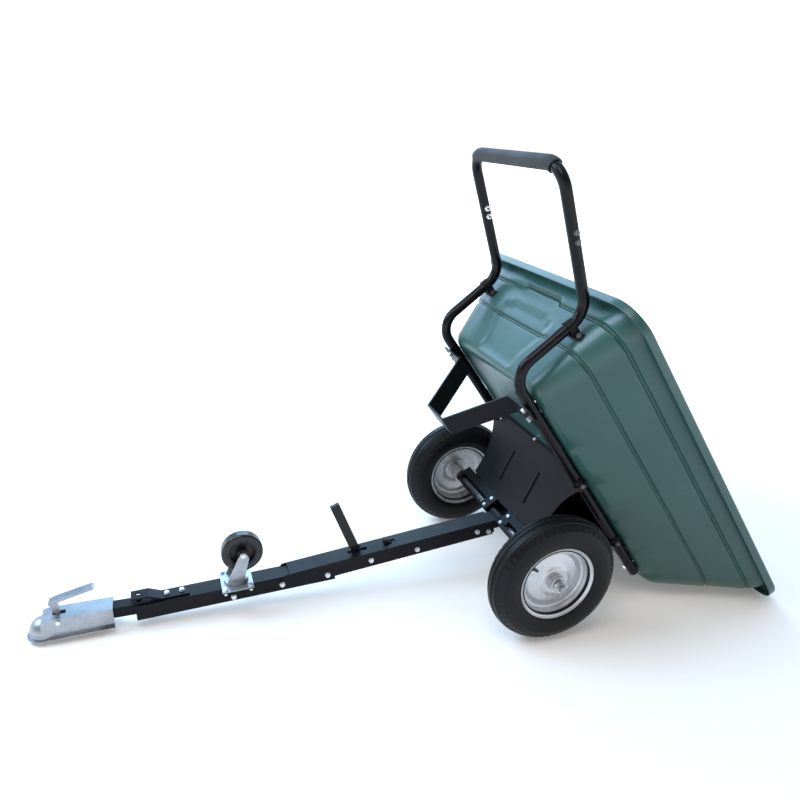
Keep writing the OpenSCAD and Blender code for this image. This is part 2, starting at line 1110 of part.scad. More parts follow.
module coupler_body() {
  color(zinc)
    coupf()
      difference() {
        union() {
          difference() {
            union() {
              translate([0, 0, cf_z])
                linear_extrude(cr_z - cf_z)
                  coup_plan(0);
              // outward lip along the foot
              translate([0, 0, cf_z])
                linear_extrude(3)
                  polygon([[cb_x + 20, 46], [240, 40], [240, -40], [cb_x + 20, -46]]);
              translate([cb_x, 0, 0])
                cyl_z(46, cf_z, cf_z + 3);
            }
            translate([0, 0, -1])
              linear_extrude(cr_z + 1 - cw)
                intersection() {
                  coup_plan(cw);
                  translate([cb_x + 30, -60])
                    square([220, 120]);
                }
            translate([0, 0, -1])
              linear_extrude(33)
                coup_plan(cw);
          }
          // weld seats against the coupler tube
          for (m = [-1, 1])
            translate([0, m * 23.01, 0])
              block(198, 238, -3.99, 3.99, 26, 58);
        }
        // ball socket, open below
        translate([cb_x, 0, cb_z])
          sphere(r = ball_d / 2 + 0.3, $fn = 64);
        translate([cb_x, 0, 0])
          cyl_z(ball_d / 2 + 0.3, -5, cb_z);
        // dome over the nose
        difference() {
          block(-10, cb_x, -60, 60, 27, 90);
          translate([cb_x, 0, 27])
            sphere(r = 38.4, $fn = 64);
        }
        // ramp from the dome up to the roof
        translate([cb_x - eps, -60, 65.2])
          rotate([0, -15.5, 0])
            cube([60, 120, 30]);
        // slot for the lever and its jaw
        block(76, 112, -9, 9, 60, 90);
        translate([92, 0, 62])
          cyl_y(4.1, -50, 50, 24);
        // keep clear of the coupler tube inside
        block(112, 245, -19.02, 19.02, 20, 63);
      }
}

module coupler_pin() {
  color(zinc)
    coupf()
      translate([92, 0, 62])
        union() {
          cyl_y(4, -34.4, 34.4);
          cyl_y(6.5, -37, -34.2);
          cyl_y(6.5, 34.2, 37);
        }
}

// lever: hub on the pin, short upright, long handle leaning back
module coupler_lever() {
  color(zinc)
    coupf()
      translate([92, 0, 62])
        difference() {
          union() {
            cyl_y(8, -7, 7);
            translate([0, 7, 0])
              rotate([90, 0, 0])
                linear_extrude(14)
                  polygon([[-7, 3], [7, 3], [4, 44], [-15, 56], [-22, 50]]);
            translate([0, 13, 0])
              rotate([90, 0, 0])
                linear_extrude(26)
                  polygon([[-22, 48], [-19, 55], [-6, 60], [100, 84], [106, 80], [104, 76],
                           [-2, 51], [-14, 46]]);
          }
          cyl_y(4 + run_c, -20, 20);
        }
}

// jaw that closes on the ball's back, hung on the same pin
module coupler_jaw() {
  color(steel_black)
    coupf()
      difference() {
        union() {
          translate([92, 0, 62]) {
            cyl_y(7.2, -18, -9.4);
            cyl_y(7.2, 9.4, 18);
          }
          for (s = [-1, 1])
            translate([0, s * 13.7, 0])
              block(80, 98, -4.3, 4.3, 16, 60);
          block(72, 96, -18, 18, 12, 27);
        }
        translate([92, 0, 62])
          cyl_y(4 + run_c, -30, 30);
        // room for the ball, with the jaw open and closed
        translate([cb_x, 0, cb_z])
          sphere(r = ball_d / 2 + 0.4, $fn = 64);
        translate([92, 0, 62])
          rotate([0, -4.5, 0])
            translate([cb_x - 92, 0, cb_z - 62])
              sphere(r = ball_d / 2 + 0.4, $fn = 64);
      }
}

// ---------------------------------------------------------------- caster

cs_x = 293;
br_z = ft_h / 2 + 0.2;
pl_z = br_z + 3.2;
ax_x = cs_x + 27;
ax_z = 126;

module caster_bracket() {
  color(zinc)
    frontf()
      translate([cs_x, 0, 0])
        difference() {
          union() {
            block(-47, 47, -58, 58, br_z, br_z + 3);
            for (s = [-1, 1])
              translate([0, s * (ft_w / 2 + 1.8), 0])
                block(-32, 6, -1.5, 1.5, -20, br_z + 1);
          }
          for (x = [-38, 38])
            for (y = [-48, 48])
              translate([x, y, 0])
                cyl_z(4.25, 0, 60, 24);
          translate([-15, 0, -8])
            cyl_y(4.25, -60, 60, 24);
        }
}

module caster_bracket_bolt() {
  color(bolt_c)
    frontf()
      translate([cs_x - 15, 0, -8])
        cross_bolt(8, ft_w / 2 + 3.4);
}

module caster_bracket_nut() {
  color(bolt_c)
    frontf()
      translate([cs_x - 15, 0, -8])
        cross_nut(8, ft_w / 2 + 3.4);
}

module caster_plate() {
  color(zinc)
    frontf()
      translate([cs_x, 0, 0])
        difference() {
          union() {
            block(-47, 47, -58, 58, pl_z, pl_z + 3);
            cyl_z(33, pl_z + 3 - eps, pl_z + 7);
          }
          for (x = [-38, 38])
            for (y = [-48, 48])
              translate([x, y, 0])
                cyl_z(4.25, 0, 60, 24);
          cyl_z(5.1, 0, 60);
        }
}

module caster_plate_bolts() {
  color(bolt_c)
    frontf()
      for (x = [-38, 38])
        for (y = [-48, 48])
          translate([cs_x + x, y, pl_z + 3.2])
            union() {
              cyl_z(8, 0, 1.4);
              cyl_z(7.2, 1.3, 6, 6);
              cyl_z(4, -17, eps);
            }
}

module caster_plate_nuts() {
  color(bolt_c)
    frontf()
      for (x = [-38, 38])
        for (y = [-48, 48])
          translate([cs_x + x, y, br_z - 0.2])
            difference() {
              union() {
                cyl_z(8, -1.4, 0);
                cyl_z(7.2, -7, -1.3, 6);
              }
              cyl_z(4.05, -20, 5, 24);
            }
}

module caster_kingpin() {
  color(bolt_c)
    frontf()
      translate([cs_x, 0, 0])
        union() {
          cyl_z(5, br_z + 3.1, pl_z + 19);
          cyl_z(8.5, pl_z + 15.4, pl_z + 21, 6);
        }
}

module fork_leg() {
  // side view: x along, y up
  polygon([[-30, 8.2], [22, 8.2], [44, 84], [40, 96], [30, 103], [20, 100], [12, 92]]);
}

module caster_fork() {
  color(zinc)
    frontf()
      translate([cs_x, 0, pl_z])
        difference() {
          union() {
            cyl_z(35, 7.6, 11.6);
            difference() {
              cyl_z(37, 3.6, 11.6);
              cyl_z(33.5, 3, 7.7);
            }
            block(-30, 22, -27, 27, 8.2, 11.4);
            for (s = [-1, 1])
              translate([0, s * 25.5 + 1.5, 0])
                rotate([90, 0, 0])
                  linear_extrude(3)
                    fork_leg();
          }
          cyl_z(5 + run_c, 0, 30);
          translate([ax_x - cs_x, 0, ax_z - pl_z])
            cyl_y(5.2, -40, 40, 24);
        }
}

module caster_axle() {
  color(bolt_c)
    frontf()
      translate([ax_x, -27.2, ax_z])
        head_near()
          union() {
            cyl_z(9, 0, 1.6);
            cyl_z(8.2, 1.5, 7, 6);
            cyl_z(5, -63, eps);
          }
}

module caster_axle_nut() {
  color(bolt_c)
    frontf()
      translate([ax_x, 27.2, ax_z])
        head_near()
          difference() {
            union() {
              cyl_z(9, -1.6, 0);
              cyl_z(8.2, -7.4, -1.5, 6);
            }
            cyl_z(5.05, -20, 5);
          }
}

module caster_tyre() {
  color(rubber_c)
    frontf()
      translate([ax_x, 0, ax_z])
        spin_y()
          difference() {
            union() {
              translate([48, -11])
                square([caster_d / 2 - 48, 22]);
              translate([44, -18])
                square([caster_d / 2 - 51.5, 36]);
              for (s = [-1, 1])
                translate([caster_d / 2 - 7.5, s * 10.5])
                  circle(r = 7.5, $fn = 32);
            }
            translate([0, -30])
              square([44.1, 60]);
          }
}

module caster_hub() {
  color(plastic_c)
    frontf()
      translate([ax_x, 0, ax_z])
        spin_y()
          difference() {
            union() {
              translate([5 + run_c, -23.4])
                square([11, 46.8]);
              translate([5 + run_c, -4])
                square([38, 8]);
              translate([38, -17])
                square([6, 34]);
            }
          }
}

// ---------------------------------------------------------------- pivot saddle, latch

module pivot_saddle() {
  color(steel_black)
    barf()
      difference() {
        union() {
          cyl_y(19, -29.6, 29.6);
          block(-118, 0, -29.6, 29.6, -19, 9.6);
          block(-118, -30, -29.6, 29.6, -34, -19 + eps);
        }
        cyl_y(rod_r + run_c, -60, 60);
        bar_cross(-52, -22);
        bar_cross(-92, -12);
        block(-130, -34, -25.4, 25.4, -60, 5.4);
      }
}

module saddle_bolts() {
  color(bolt_c)
    barf() {
      translate([-52, 0, -22])
        cross_bolt(8, bar_w / 2);
      translate([-92, 0, -12])
        cross_bolt(8, bar_w / 2);
    }
}

module saddle_nuts() {
  color(bolt_c)
    barf() {
      translate([-52, 0, -22])
        cross_nut(8, bar_w / 2);
      translate([-92, 0, -12])
        cross_nut(8, bar_w / 2);
    }
}

// bracket inside the drawbar whose tab stands up behind the lowered stand
module stop_bracket() {
  color(steel_black)
    barf()
      difference() {
        union() {
          block(-404, -286, -bi + 0.3, bi - 0.3, 6.6, 9.8);
          for (s = [-1, 1])
            translate([0, s * (bi - 1.8), 0])
              block(-328, -286, -1.5, 1.5, -32, 9.8);
          block(-404, -398, -9, 9, 6.6, 30);
          translate([0, 9, 0])
            rotate([90, 0, 0])
              linear_extrude(18)
                polygon([[-404, 26], [-380, 14], [-376, 9], [-398, 9]]);
        }
        bar_cross(-304, -18);
      }
}

module stop_bolt() {
  color(bolt_c)
    barf()
      translate([-304, 0, -18])
        cross_bolt(8, bar_w / 2);
}

module stop_nut() {
  color(bolt_c)
    barf()
      translate([-304, 0, -18])
        cross_nut(8, bar_w / 2);
}

module latch_pin() {
  color(bolt_c)
    barf()
      translate([latch_px, 0, latch_pz])
        cross_bolt(8, bar_w / 2);
}

module latch_nut() {
  color(bolt_c)
    barf()
      translate([latch_px, 0, latch_pz])
        cross_nut(8, bar_w / 2);
}

// local frame of the pedal bar: z along the bar
module pedalf() {
  barf()
    translate([-491, 0, -14])
      rotate([0, -15.1, 0])
        children();
}

module latch_lever() {
  color(steel_black)
    difference() {
      union() {
        pedalf()
          union() {
            block(-12.5, 12.5, -4, 4, -10, 214);
            translate([0, 3.6, 0])
              rotate([90, 0, 0])
                linear_extrude(7.2)
                  polygon([[10, 35], [21, 35], [12.5, 48], [10, 48]]);
          }
        barf()
          union() {
            block(-494, -460, -4.6, 4.6, -22, -5);
            translate([latch_px, 0, latch_pz])
              cyl_y(11, -5.5, 5.5);
          }
      }
      barf()
        translate([latch_px, 0, latch_pz])
          cyl_y(4 + run_c, -20, 20);
    }
}

module latch_sleeve() {
  color(rubber_c)
    pedalf()
      difference() {
        block(-14.8, 14.8, -6.4, 6.4, 52, 217);
        block(-12.6, 12.6, -4.1, 4.1, 50, 214.2);
      }
}

module latch_spring() {
  color(zinc)
    barf()
      translate([latch_px, 0, latch_pz])
        union() {
          spin_y()
            for (i = [0 : 5])
              translate([7.4, 8 + i * 2.2])
                circle(r = 1.3, $fn = 16);
          // leg resting on the roof of the drawbar
          translate([7, 19, 0])
            cyl_z(1.1, -0.5, 22, 16);
        }
}

// ---------------------------------------------------------------- node list

module wheel_left_tyre() { tyre(1); }
module wheel_right_tyre() { tyre(-1); }
module wheel_left_rim() { rim(1); }
module wheel_right_rim() { rim(-1); }
module wheel_left_hub() { hub(1); }
module wheel_right_hub() { hub(-1); }
module wheel_left_bearings() { bearings(1); }
module wheel_right_bearings() { bearings(-1); }
module wheel_left_valve() { valve(1); }
module wheel_right_valve() { valve(-1); }

module drawbar_bolts() {
  joint_bolts();
  saddle_bolts();
  stop_bolt();
  caster_bracket_bolt();
}

module drawbar_nuts() {
  joint_nuts();
  saddle_nuts();
  stop_nut();
  latch_nut();
  strap_nuts();
  caster_bracket_nut();
  caster_plate_nuts();
}

module tube_bolts() {
  handle_bolts();
  panel_rail_bolts();
}

module rail_bolts() {
  stand_bolts();
  rail_end_bolts();
}

module frame_nuts() {
  handle_nuts();
  panel_rail_nuts();
  rail_tub_nuts();
  panel_tub_nuts();
  panel_base_nuts();
  clip_nuts();
}

drawbar_rear();
drawbar_front();
drawbar_bolts();
drawbar_nuts();
coupler_tube();
hitch_strap();
strap_bolts();
coupler_body();
coupler_pin();
coupler_lever();
coupler_jaw();
caster_bracket();
caster_plate();
caster_plate_bolts();
caster_kingpin();
caster_fork();
caster_axle();
caster_axle_nut();
caster_tyre();
caster_hub();
pivot_saddle();
stop_bracket();
latch_pin();
latch_lever();
latch_sleeve();
latch_spring();
tub();
rail_left();
rail_right();
handle_loop();
handle_grip();
tube_bolts();
tube_clips();
clip_bolts();
stand();
rail_bolts();
frame_nuts();
panel_front();
panel_rear();
panel_tub_bolts();
axle_channel();
panel_base_bolts();
axle_rod();
axle_brackets();
bracket_bolts();
axle_spacers();
axle_nuts();
split_pins();
wheel_left_tyre();
wheel_left_rim();
wheel_left_hub();
wheel_left_bearings();
wheel_left_valve();
wheel_right_tyre();
wheel_right_rim();
wheel_right_hub();
wheel_right_bearings();
wheel_right_valve();
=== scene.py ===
"""Tow-behind tipping cart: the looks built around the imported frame, in metres."""

import json
import logging
import math
from dataclasses import dataclass, field, replace
from enum import Enum
from typing import Callable, Sequence

import bmesh
import bpy
from mathutils import Matrix, Vector

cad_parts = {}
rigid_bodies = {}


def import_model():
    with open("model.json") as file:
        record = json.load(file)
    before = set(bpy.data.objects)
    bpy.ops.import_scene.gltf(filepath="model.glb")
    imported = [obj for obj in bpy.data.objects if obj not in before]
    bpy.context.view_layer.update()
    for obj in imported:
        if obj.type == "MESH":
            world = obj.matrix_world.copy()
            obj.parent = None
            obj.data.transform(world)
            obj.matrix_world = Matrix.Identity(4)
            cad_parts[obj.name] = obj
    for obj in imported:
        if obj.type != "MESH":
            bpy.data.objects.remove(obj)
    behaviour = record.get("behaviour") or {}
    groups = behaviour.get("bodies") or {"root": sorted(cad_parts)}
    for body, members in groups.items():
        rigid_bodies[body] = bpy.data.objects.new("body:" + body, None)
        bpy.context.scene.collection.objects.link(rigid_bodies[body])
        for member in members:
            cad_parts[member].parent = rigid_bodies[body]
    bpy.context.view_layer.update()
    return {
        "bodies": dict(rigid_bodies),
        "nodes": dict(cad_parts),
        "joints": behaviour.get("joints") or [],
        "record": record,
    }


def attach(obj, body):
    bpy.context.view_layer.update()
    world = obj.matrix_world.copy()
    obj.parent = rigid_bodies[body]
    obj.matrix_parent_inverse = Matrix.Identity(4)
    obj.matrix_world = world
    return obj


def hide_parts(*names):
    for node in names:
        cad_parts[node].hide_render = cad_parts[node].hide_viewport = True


LOG = logging.getLogger("cart")
MM = 0.001
TIP_ANGLE = math.radians(53.7)
CAMERA_FROM_AXLE = -1.0517
CAMERA_Y = -1.8885
CAMERA_Z = 1.4220
MERGE_MM = 0.02
SLIVER_MM = 0.002
LONGEST_REACH = 0.48

Colour = tuple[float, float, float]
Profile = list[tuple[float, float]]
Span = tuple[float, float]
Row = tuple[float, ...]


class Slot(Enum):
    """The record's material slots."""

    BLACK_PAINT = "black_paint"
    BLACK_GLOSS = "black_gloss"
    ZINC_BOLTS = "zinc_bolts"
    ZINC_PLATE = "zinc_plate"
    DARK_STEEL = "dark_steel"
    CASTER_RUBBER = "caster_rubber"
    BLACK_PLASTIC = "black_plastic"
    TUB_PLASTIC = "tub_plastic"
    FOAM_GRIP = "foam_grip"
    TYRE_RUBBER = "tyre_rubber"
    RIM_SILVER = "rim_silver"
    BEARING_STEEL = "bearing_steel"
    VALVE_RUBBER = "valve_rubber"


# ------------------------------------------------------------------ node helpers


class Graph:
    """A thin layer over a node tree that adds and links nodes in one call."""

    def __init__(self, tree: bpy.types.NodeTree) -> None:
        """Keeps the tree.

        Args:
            tree: the node tree to fill.
        """
        self.tree = tree

    def add(
        self, kind: str, sockets: dict | None = None, **settings: object
    ) -> bpy.types.Node:
        """Adds one node.

        Args:
            kind: the node's class name without its ShaderNode prefix.
            sockets: input name or index to a value or to an output socket to link.
            settings: properties of the node itself.

        Returns:
            The new node.
        """
        name = kind if kind.startswith("Node") else "ShaderNode" + kind
        node = self.tree.nodes.new(name)
        for key, value in settings.items():
            setattr(node, key, value)
        for key, value in (sockets or {}).items():
            if isinstance(value, bpy.types.NodeSocket):
                self.tree.links.new(value, node.inputs[key])
            else:
                node.inputs[key].default_value = value
        return node

    def ramp(self, value: bpy.types.NodeSocket, low: float, high: float) -> bpy.types.NodeSocket:
        """Stretches low..high of a value to 0..1, clamped.

        Args:
            value: the socket to read.
            low: the value that becomes 0.
            high: the value that becomes 1.

        Returns:
            The result socket.
        """
        node = self.add("MapRange", {"Value": value, "From Min": low, "From Max": high})
        return node.outputs["Result"]

    def math(self, operation: str, first: object, second: object = 0.0) -> bpy.types.NodeSocket:
        """Adds a math node.

        Args:
            operation: the node's operation name.
            first: first number or socket.
            second: second number or socket.

        Returns:
            The value socket.
        """
        return self.add("Math", {0: first, 1: second}, operation=operation).outputs[0]

    def mix(self, share: object, first: object, second: object) -> bpy.types.NodeSocket:
        """Mixes two colours.

        Args:
            share: how much of the second colour, as a number or socket.
            first: first colour or socket.
            second: second colour or socket.

        Returns:
            The colour socket.
        """
        node = self.tree.nodes.new("ShaderNodeMix")
        node.data_type = "RGBA"
        pairs = ((node.inputs[0], share), (node.inputs[6], first), (node.inputs[7], second))
        for socket, value in pairs:
            if isinstance(value, bpy.types.NodeSocket):
                self.tree.links.new(value, socket)
            else:
                socket.default_value = value
        return node.outputs[2]


def rgba(colour: Colour) -> tuple[float, float, float, float]:
    """Adds full alpha to a colour."""
    return (colour[0], colour[1], colour[2], 1.0)


class Effects:
    """Node groups shared by the finishes. Each is built once.

    A span is the low and the high of the value that is stretched to 0..1.
    """

    CLOUD_SPAN: Span = (0.35, 0.65)
    EDGE_SPAN: Span = (0.02, 0.2)
    EDGE_PATCH_SPAN: Span = (0.48, 0.62)
    FACING_UP_SPAN: Span = (0.2, 1.0)
    DUST_PATCH_SPAN: Span = (0.3, 0.75)
    SCRATCH_LINE_SPAN: Span = (0.012, 0.0)
    SCRATCH_PATCH_SPAN: Span = (0.52, 0.68)
    SCRATCH_RUNS: tuple[Span, ...] = ((0.4, 55.0), (-0.9, 75.0))
    SCRATCH_TILT = 0.3
    SCRATCH_LENGTH = 4.0

    _built: dict[str, bpy.types.NodeTree] = {}

    @classmethod
    def _group(
        cls,
        name: str,
        inputs: Sequence[tuple[str, str, float]],
        outputs: Sequence[tuple[str, str]],
        fill: Callable[[Graph, bpy.types.Node, bpy.types.Node], None],
    ) -> bpy.types.NodeTree:
        """Builds a group, or returns the one already built.

        Args:
            name: the group's name.
            inputs: name, kind (Float or Vector) and default of each input.
            outputs: name and kind of each output.
            fill: puts the nodes between the group's input and output.

        Returns:
            The group's tree.
        """
        if name in cls._built:
            return cls._built[name]
        tree = bpy.data.node_groups.new(name, "ShaderNodeTree")
        for label, kind, value in inputs:
            made = tree.interface.new_socket(label, in_out="INPUT", socket_type="NodeSocket" + kind)
            if kind == "Float":
                made.default_value = value
        for label, kind in outputs:
            tree.interface.new_socket(label, in_out="OUTPUT", socket_type="NodeSocket" + kind)
        graph = Graph(tree)
        fill(graph, graph.add("NodeGroupInput"), graph.add("NodeGroupOutput"))
        cls._built[name] = tree
        return tree

    @classmethod
    def mottle(cls) -> bpy.types.NodeTree:
        """Soft cloudy variation with a finer speckle.

        Returns:
            A group with Cloud and Speckle masks.
        """

        def fill(g: Graph, start: bpy.types.Node, end: bpy.types.Node) -> None:
            """Lays the nodes.

            Args:
                g: the group's graph.
                start: the group's input node.
                end: the group's output node.
            """
            where = start.outputs["Vector"]
            for mask, detail in (("Cloud", 4.0), ("Speckle", 2.0)):
                scale = start.outputs[mask + " Scale"]
                noise = g.add("TexNoise", {"Vector": where, "Scale": scale, "Detail": detail})
                g.tree.links.new(g.ramp(noise.outputs["Fac"], *cls.CLOUD_SPAN), end.inputs[mask])

        return cls._group(
            "cloud_and_speckle",
            [
                ("Vector", "Vector", 0.0),
                ("Cloud Scale", "Float", 8.0),
                ("Speckle Scale", "Float", 400.0),
            ],
            [("Cloud", "Float"), ("Speckle", "Float")],
            fill,
        )

    @classmethod
    def edge_wear(cls) -> bpy.types.NodeTree:
        """Worn edges, and normals that round a sharp corner.

        Returns:
            A group with a Mask and a Normal.
        """

        def fill(g: Graph, start: bpy.types.Node, end: bpy.types.Node) -> None:
            """Lays the nodes.

            Args:
                g: the group's graph.
                start: the group's input node.
                end: the group's output node.
            """
            bevel = g.add("Bevel", {"Radius": start.outputs["Radius"]}, samples=4)
            plain = g.add("NewGeometry")
            dot = g.add(
                "VectorMath",
                {0: bevel.outputs["Normal"], 1: plain.outputs["Normal"]},
                operation="DOT_PRODUCT",
            )
            edge = g.ramp(g.math("SUBTRACT", 1.0, dot.outputs["Value"]), *cls.EDGE_SPAN)
            where = start.outputs["Vector"]
            noise = g.add("TexNoise", {"Vector": where, "Scale": 60.0, "Detail": 5.0})
            patchy = g.ramp(noise.outputs["Fac"], *cls.EDGE_PATCH_SPAN)
            g.tree.links.new(g.math("MULTIPLY", edge, patchy), end.inputs["Mask"])
            g.tree.links.new(bevel.outputs["Normal"], end.inputs["Normal"])

        return cls._group(
            "edge_wear",
            [("Vector", "Vector", 0.0), ("Radius", "Float", 0.001)],
            [("Mask", "Float"), ("Normal", "Vector")],
            fill,
        )

    @classmethod
    def settled_dust(cls) -> bpy.types.NodeTree:
        """Dust that lies on faces that look up.

        Returns:
            A group with a Mask.
        """

        def fill(g: Graph, start: bpy.types.Node, end: bpy.types.Node) -> None:
            """Lays the nodes.

            Args:
                g: the group's graph.
                start: the group's input node.
                end: the group's output node.
            """
            normal = g.add("SeparateXYZ", {"Vector": g.add("NewGeometry").outputs["Normal"]})
            up = g.ramp(normal.outputs["Z"], *cls.FACING_UP_SPAN)
            where = start.outputs["Vector"]
            noise = g.add("TexNoise", {"Vector": where, "Scale": 22.0, "Detail": 6.0})
            patchy = g.ramp(noise.outputs["Fac"], *cls.DUST_PATCH_SPAN)
            dusty = g.math("MULTIPLY", up, patchy)
            amount = g.math("MULTIPLY", dusty, start.outputs["Amount"])
            g.tree.links.new(amount, end.inputs["Mask"])

        return cls._group(
            "settled_dust",
            [("Vector", "Vector", 0.0), ("Amount", "Float", 0.3)],
            [("Mask", "Float")],
            fill,
        )

    @classmethod
    def scratches(cls) -> bpy.types.NodeTree:
        """Thin handling scratches that run in two directions.

        Returns:
            A group with a Mask.
        """

        def fill(g: Graph, start: bpy.types.Node, end: bpy.types.Node) -> None:
            """Lays the nodes.

            Args:
                g: the group's graph.
                start: the group's input node.
                end: the group's output node.
            """
            where, total = start.outputs["Vector"], None
            for turn, stretch in cls.SCRATCH_RUNS:
                place = g.add(
                    "Mapping",
                    {
                        "Vector": where,
                        "Rotation": (turn, turn, cls.SCRATCH_TILT),
                        "Scale": (cls.SCRATCH_LENGTH, cls.SCRATCH_LENGTH, stretch),
                    },
                )
                noise = g.add(
                    "TexNoise", {"Vector": place.outputs["Vector"], "Scale": 4.0, "Detail": 3.0}
                )
                off_centre = g.math("ABSOLUTE", g.math("SUBTRACT", noise.outputs["Fac"], 0.5))
                line = g.ramp(off_centre, *cls.SCRATCH_LINE_SPAN)
                total = line if total is None else g.math("MAXIMUM", total, line)
            rare = g.add("TexNoise", {"Vector": where, "Scale": 7.0, "Detail": 2.0})
            patchy = g.ramp(rare.outputs["Fac"], *cls.SCRATCH_PATCH_SPAN)
            g.tree.links.new(g.math("MULTIPLY", total, patchy), end.inputs["Mask"])

        return cls._group(
            "handling_scratches", [("Vector", "Vector", 0.0)], [("Mask", "Float")], fill
        )


# ------------------------------------------------------------------ finishes


@dataclass(frozen=True)
class Layers:
    """The shared effects placed in one material, and the coordinates they read."""

    mottle: bpy.types.Node
    edge: bpy.types.Node
    dust: bpy.types.Node
    scratch: bpy.types.Node
    where: bpy.types.NodeSocket


@dataclass(frozen=True)
class Finish:
    """A coated, plated or moulded surface."""

    name: str
    colour: Colour
    worn: Colour
    roughness: float
    metallic: float = 0.0
    edge_radius: float = 0.0008
    wear: float = 0.4
    dust: float = 0.15
    dust_colour: Colour = (0.30, 0.29, 0.27)
    cloud_scale: float = 9.0
    grain_scale: float = 700.0
    grain_height: float = 0.00004
    tone_spread: float = 0.18
    rough_spread: float = 0.12
    scratch: float = 0.0
    coat: float = 0.0
    coat_roughness: float = 0.12
    specular: float = 0.5
    dust_roughness: float = 0.3
    scratch_roughness: float = 0.15

    def build(self) -> bpy.types.Material:
        """Makes the material.

        Returns:
            A new procedural material.
        """
        material = bpy.data.materials.new(self.name)
        material.use_nodes = True
        material.node_tree.nodes.clear()
        g = Graph(material.node_tree)
        layers = self._layers(g)
        shader = g.add("BsdfPrincipled")
        shader.inputs["Specular IOR Level"].default_value = self.specular
        shader.inputs["Coat Roughness"].default_value = self.coat_roughness
        shader.inputs["Coat Weight"].default_value = self.coat
        g.tree.links.new(self._colour(g, layers), shader.inputs["Base Color"])
        g.tree.links.new(self._roughness(g, layers), shader.inputs["Roughness"])
        shader.inputs["Metallic"].default_value = self.metallic
        g.tree.links.new(self._relief(g, layers), shader.inputs["Normal"])
        end = g.add("OutputMaterial")
        g.tree.links.new(shader.outputs[0], end.inputs["Surface"])
        return material

    def _layers(self, g: Graph) -> Layers:
        """Puts the shared effects into the material with this finish's values.

        Args:
            g: the material's graph.

        Returns:
            The placed effects.
        """
        where = g.add("TexCoord").outputs["Object"]
        mottle = self._place(g, Effects.mottle(), where)
        mottle.inputs["Cloud Scale"].default_value = self.cloud_scale
        mottle.inputs["Speckle Scale"].default_value = self.grain_scale
        edge = self._place(g, Effects.edge_wear(), where)
        edge.inputs["Radius"].default_value = self.edge_radius
        dust = self._place(g, Effects.settled_dust(), where)
        dust.inputs["Amount"].default_value = self.dust
        scratch = self._place(g, Effects.scratches(), where)
        return Layers(mottle, edge, dust, scratch, where)

    @staticmethod
    def _place(g: Graph, tree: bpy.types.NodeTree, where: bpy.types.NodeSocket) -> bpy.types.Node:
        """Puts one shared group into the material.

        Args:
            g: the material's graph.
            tree: the group.
            where: the coordinates that the group reads.

        Returns:
            The group's node.
        """
        node = g.add("Group", node_tree=tree)
        g.tree.links.new(where, node.inputs["Vector"])
        return node

    def _colour(self, g: Graph, layers: Layers) -> bpy.types.NodeSocket:
        """Layers the base tone, wear, scratches and dust.

        Args:
            g: the material's graph.
            layers: the placed effects.

        Returns:
            The colour socket.
        """
        dark = tuple(c * (1.0 - self.tone_spread) for c in self.colour)
        light = tuple(min(1.0, c * (1.0 + self.tone_spread)) for c in self.colour)
        base = g.mix(layers.mottle.outputs["Cloud"], rgba(dark), rgba(light))
        rubbed = g.math("MULTIPLY", layers.edge.outputs["Mask"], self.wear)
        worn = g.mix(rubbed, base, rgba(self.worn))
        scored = g.math("MULTIPLY", layers.scratch.outputs["Mask"], self.scratch)
        marked = g.mix(scored, worn, rgba(self.worn))
        return g.mix(layers.dust.outputs["Mask"], marked, rgba(self.dust_colour))

    def _roughness(self, g: Graph, layers: Layers) -> bpy.types.NodeSocket:
        """Varies the gloss with the cloud, dust and scratches.

        Args:
            g: the material's graph.
            layers: the placed effects.

        Returns:
            The roughness socket.
        """
        spread = g.math("MULTIPLY", layers.mottle.outputs["Cloud"], self.rough_spread)
        base = g.math("ADD", spread, self.roughness - self.rough_spread / 2)
        dusty = g.math("MULTIPLY", layers.dust.outputs["Mask"], self.dust_roughness)
        scored = g.math(
            "MULTIPLY", layers.scratch.outputs["Mask"], self.scratch_roughness * self.scratch
        )
        return g.math("ADD", g.math("ADD", base, dusty), scored)

    def _relief(self, g: Graph, layers: Layers) -> bpy.types.NodeSocket:
        """Fine bumps over the rounded corners.

        Args:
            g: the material's graph.
            layers: the placed effects.

        Returns:
            The normal socket.
        """
        bump = g.add(
            "Bump",
            {
                "Height": layers.mottle.outputs["Speckle"],
                "Normal": layers.edge.outputs["Normal"],
                "Distance": self.grain_height,
            },
        )
        return bump.outputs["Normal"]


@dataclass(frozen=True)
class ZincFinish(Finish):
    """Bright zinc plate, with the crystal patches and stains that plating shows."""

    spangle_scale: float = 120.0
    spangle_share: float = 0.35
    spangle_tone: float = 0.72

    def _colour(self, g: Graph, layers: Layers) -> bpy.types.NodeSocket:
        """Adds crystal patches to the layered tone.

        Args:
            g: the material's graph.
            layers: the placed effects.

        Returns:
            The colour socket.
        """
        base = super()._colour(g, layers)
        cells = g.add("TexVoronoi", {"Vector": layers.where, "Scale": self.spangle_scale})
        tone = g.add("SeparateColor", {"Color": cells.outputs["Color"]})
        share = g.math("MULTIPLY", tone.outputs[0], self.spangle_share)
        return g.mix(share, base, rgba(tuple(c * self.spangle_tone for c in self.colour)))


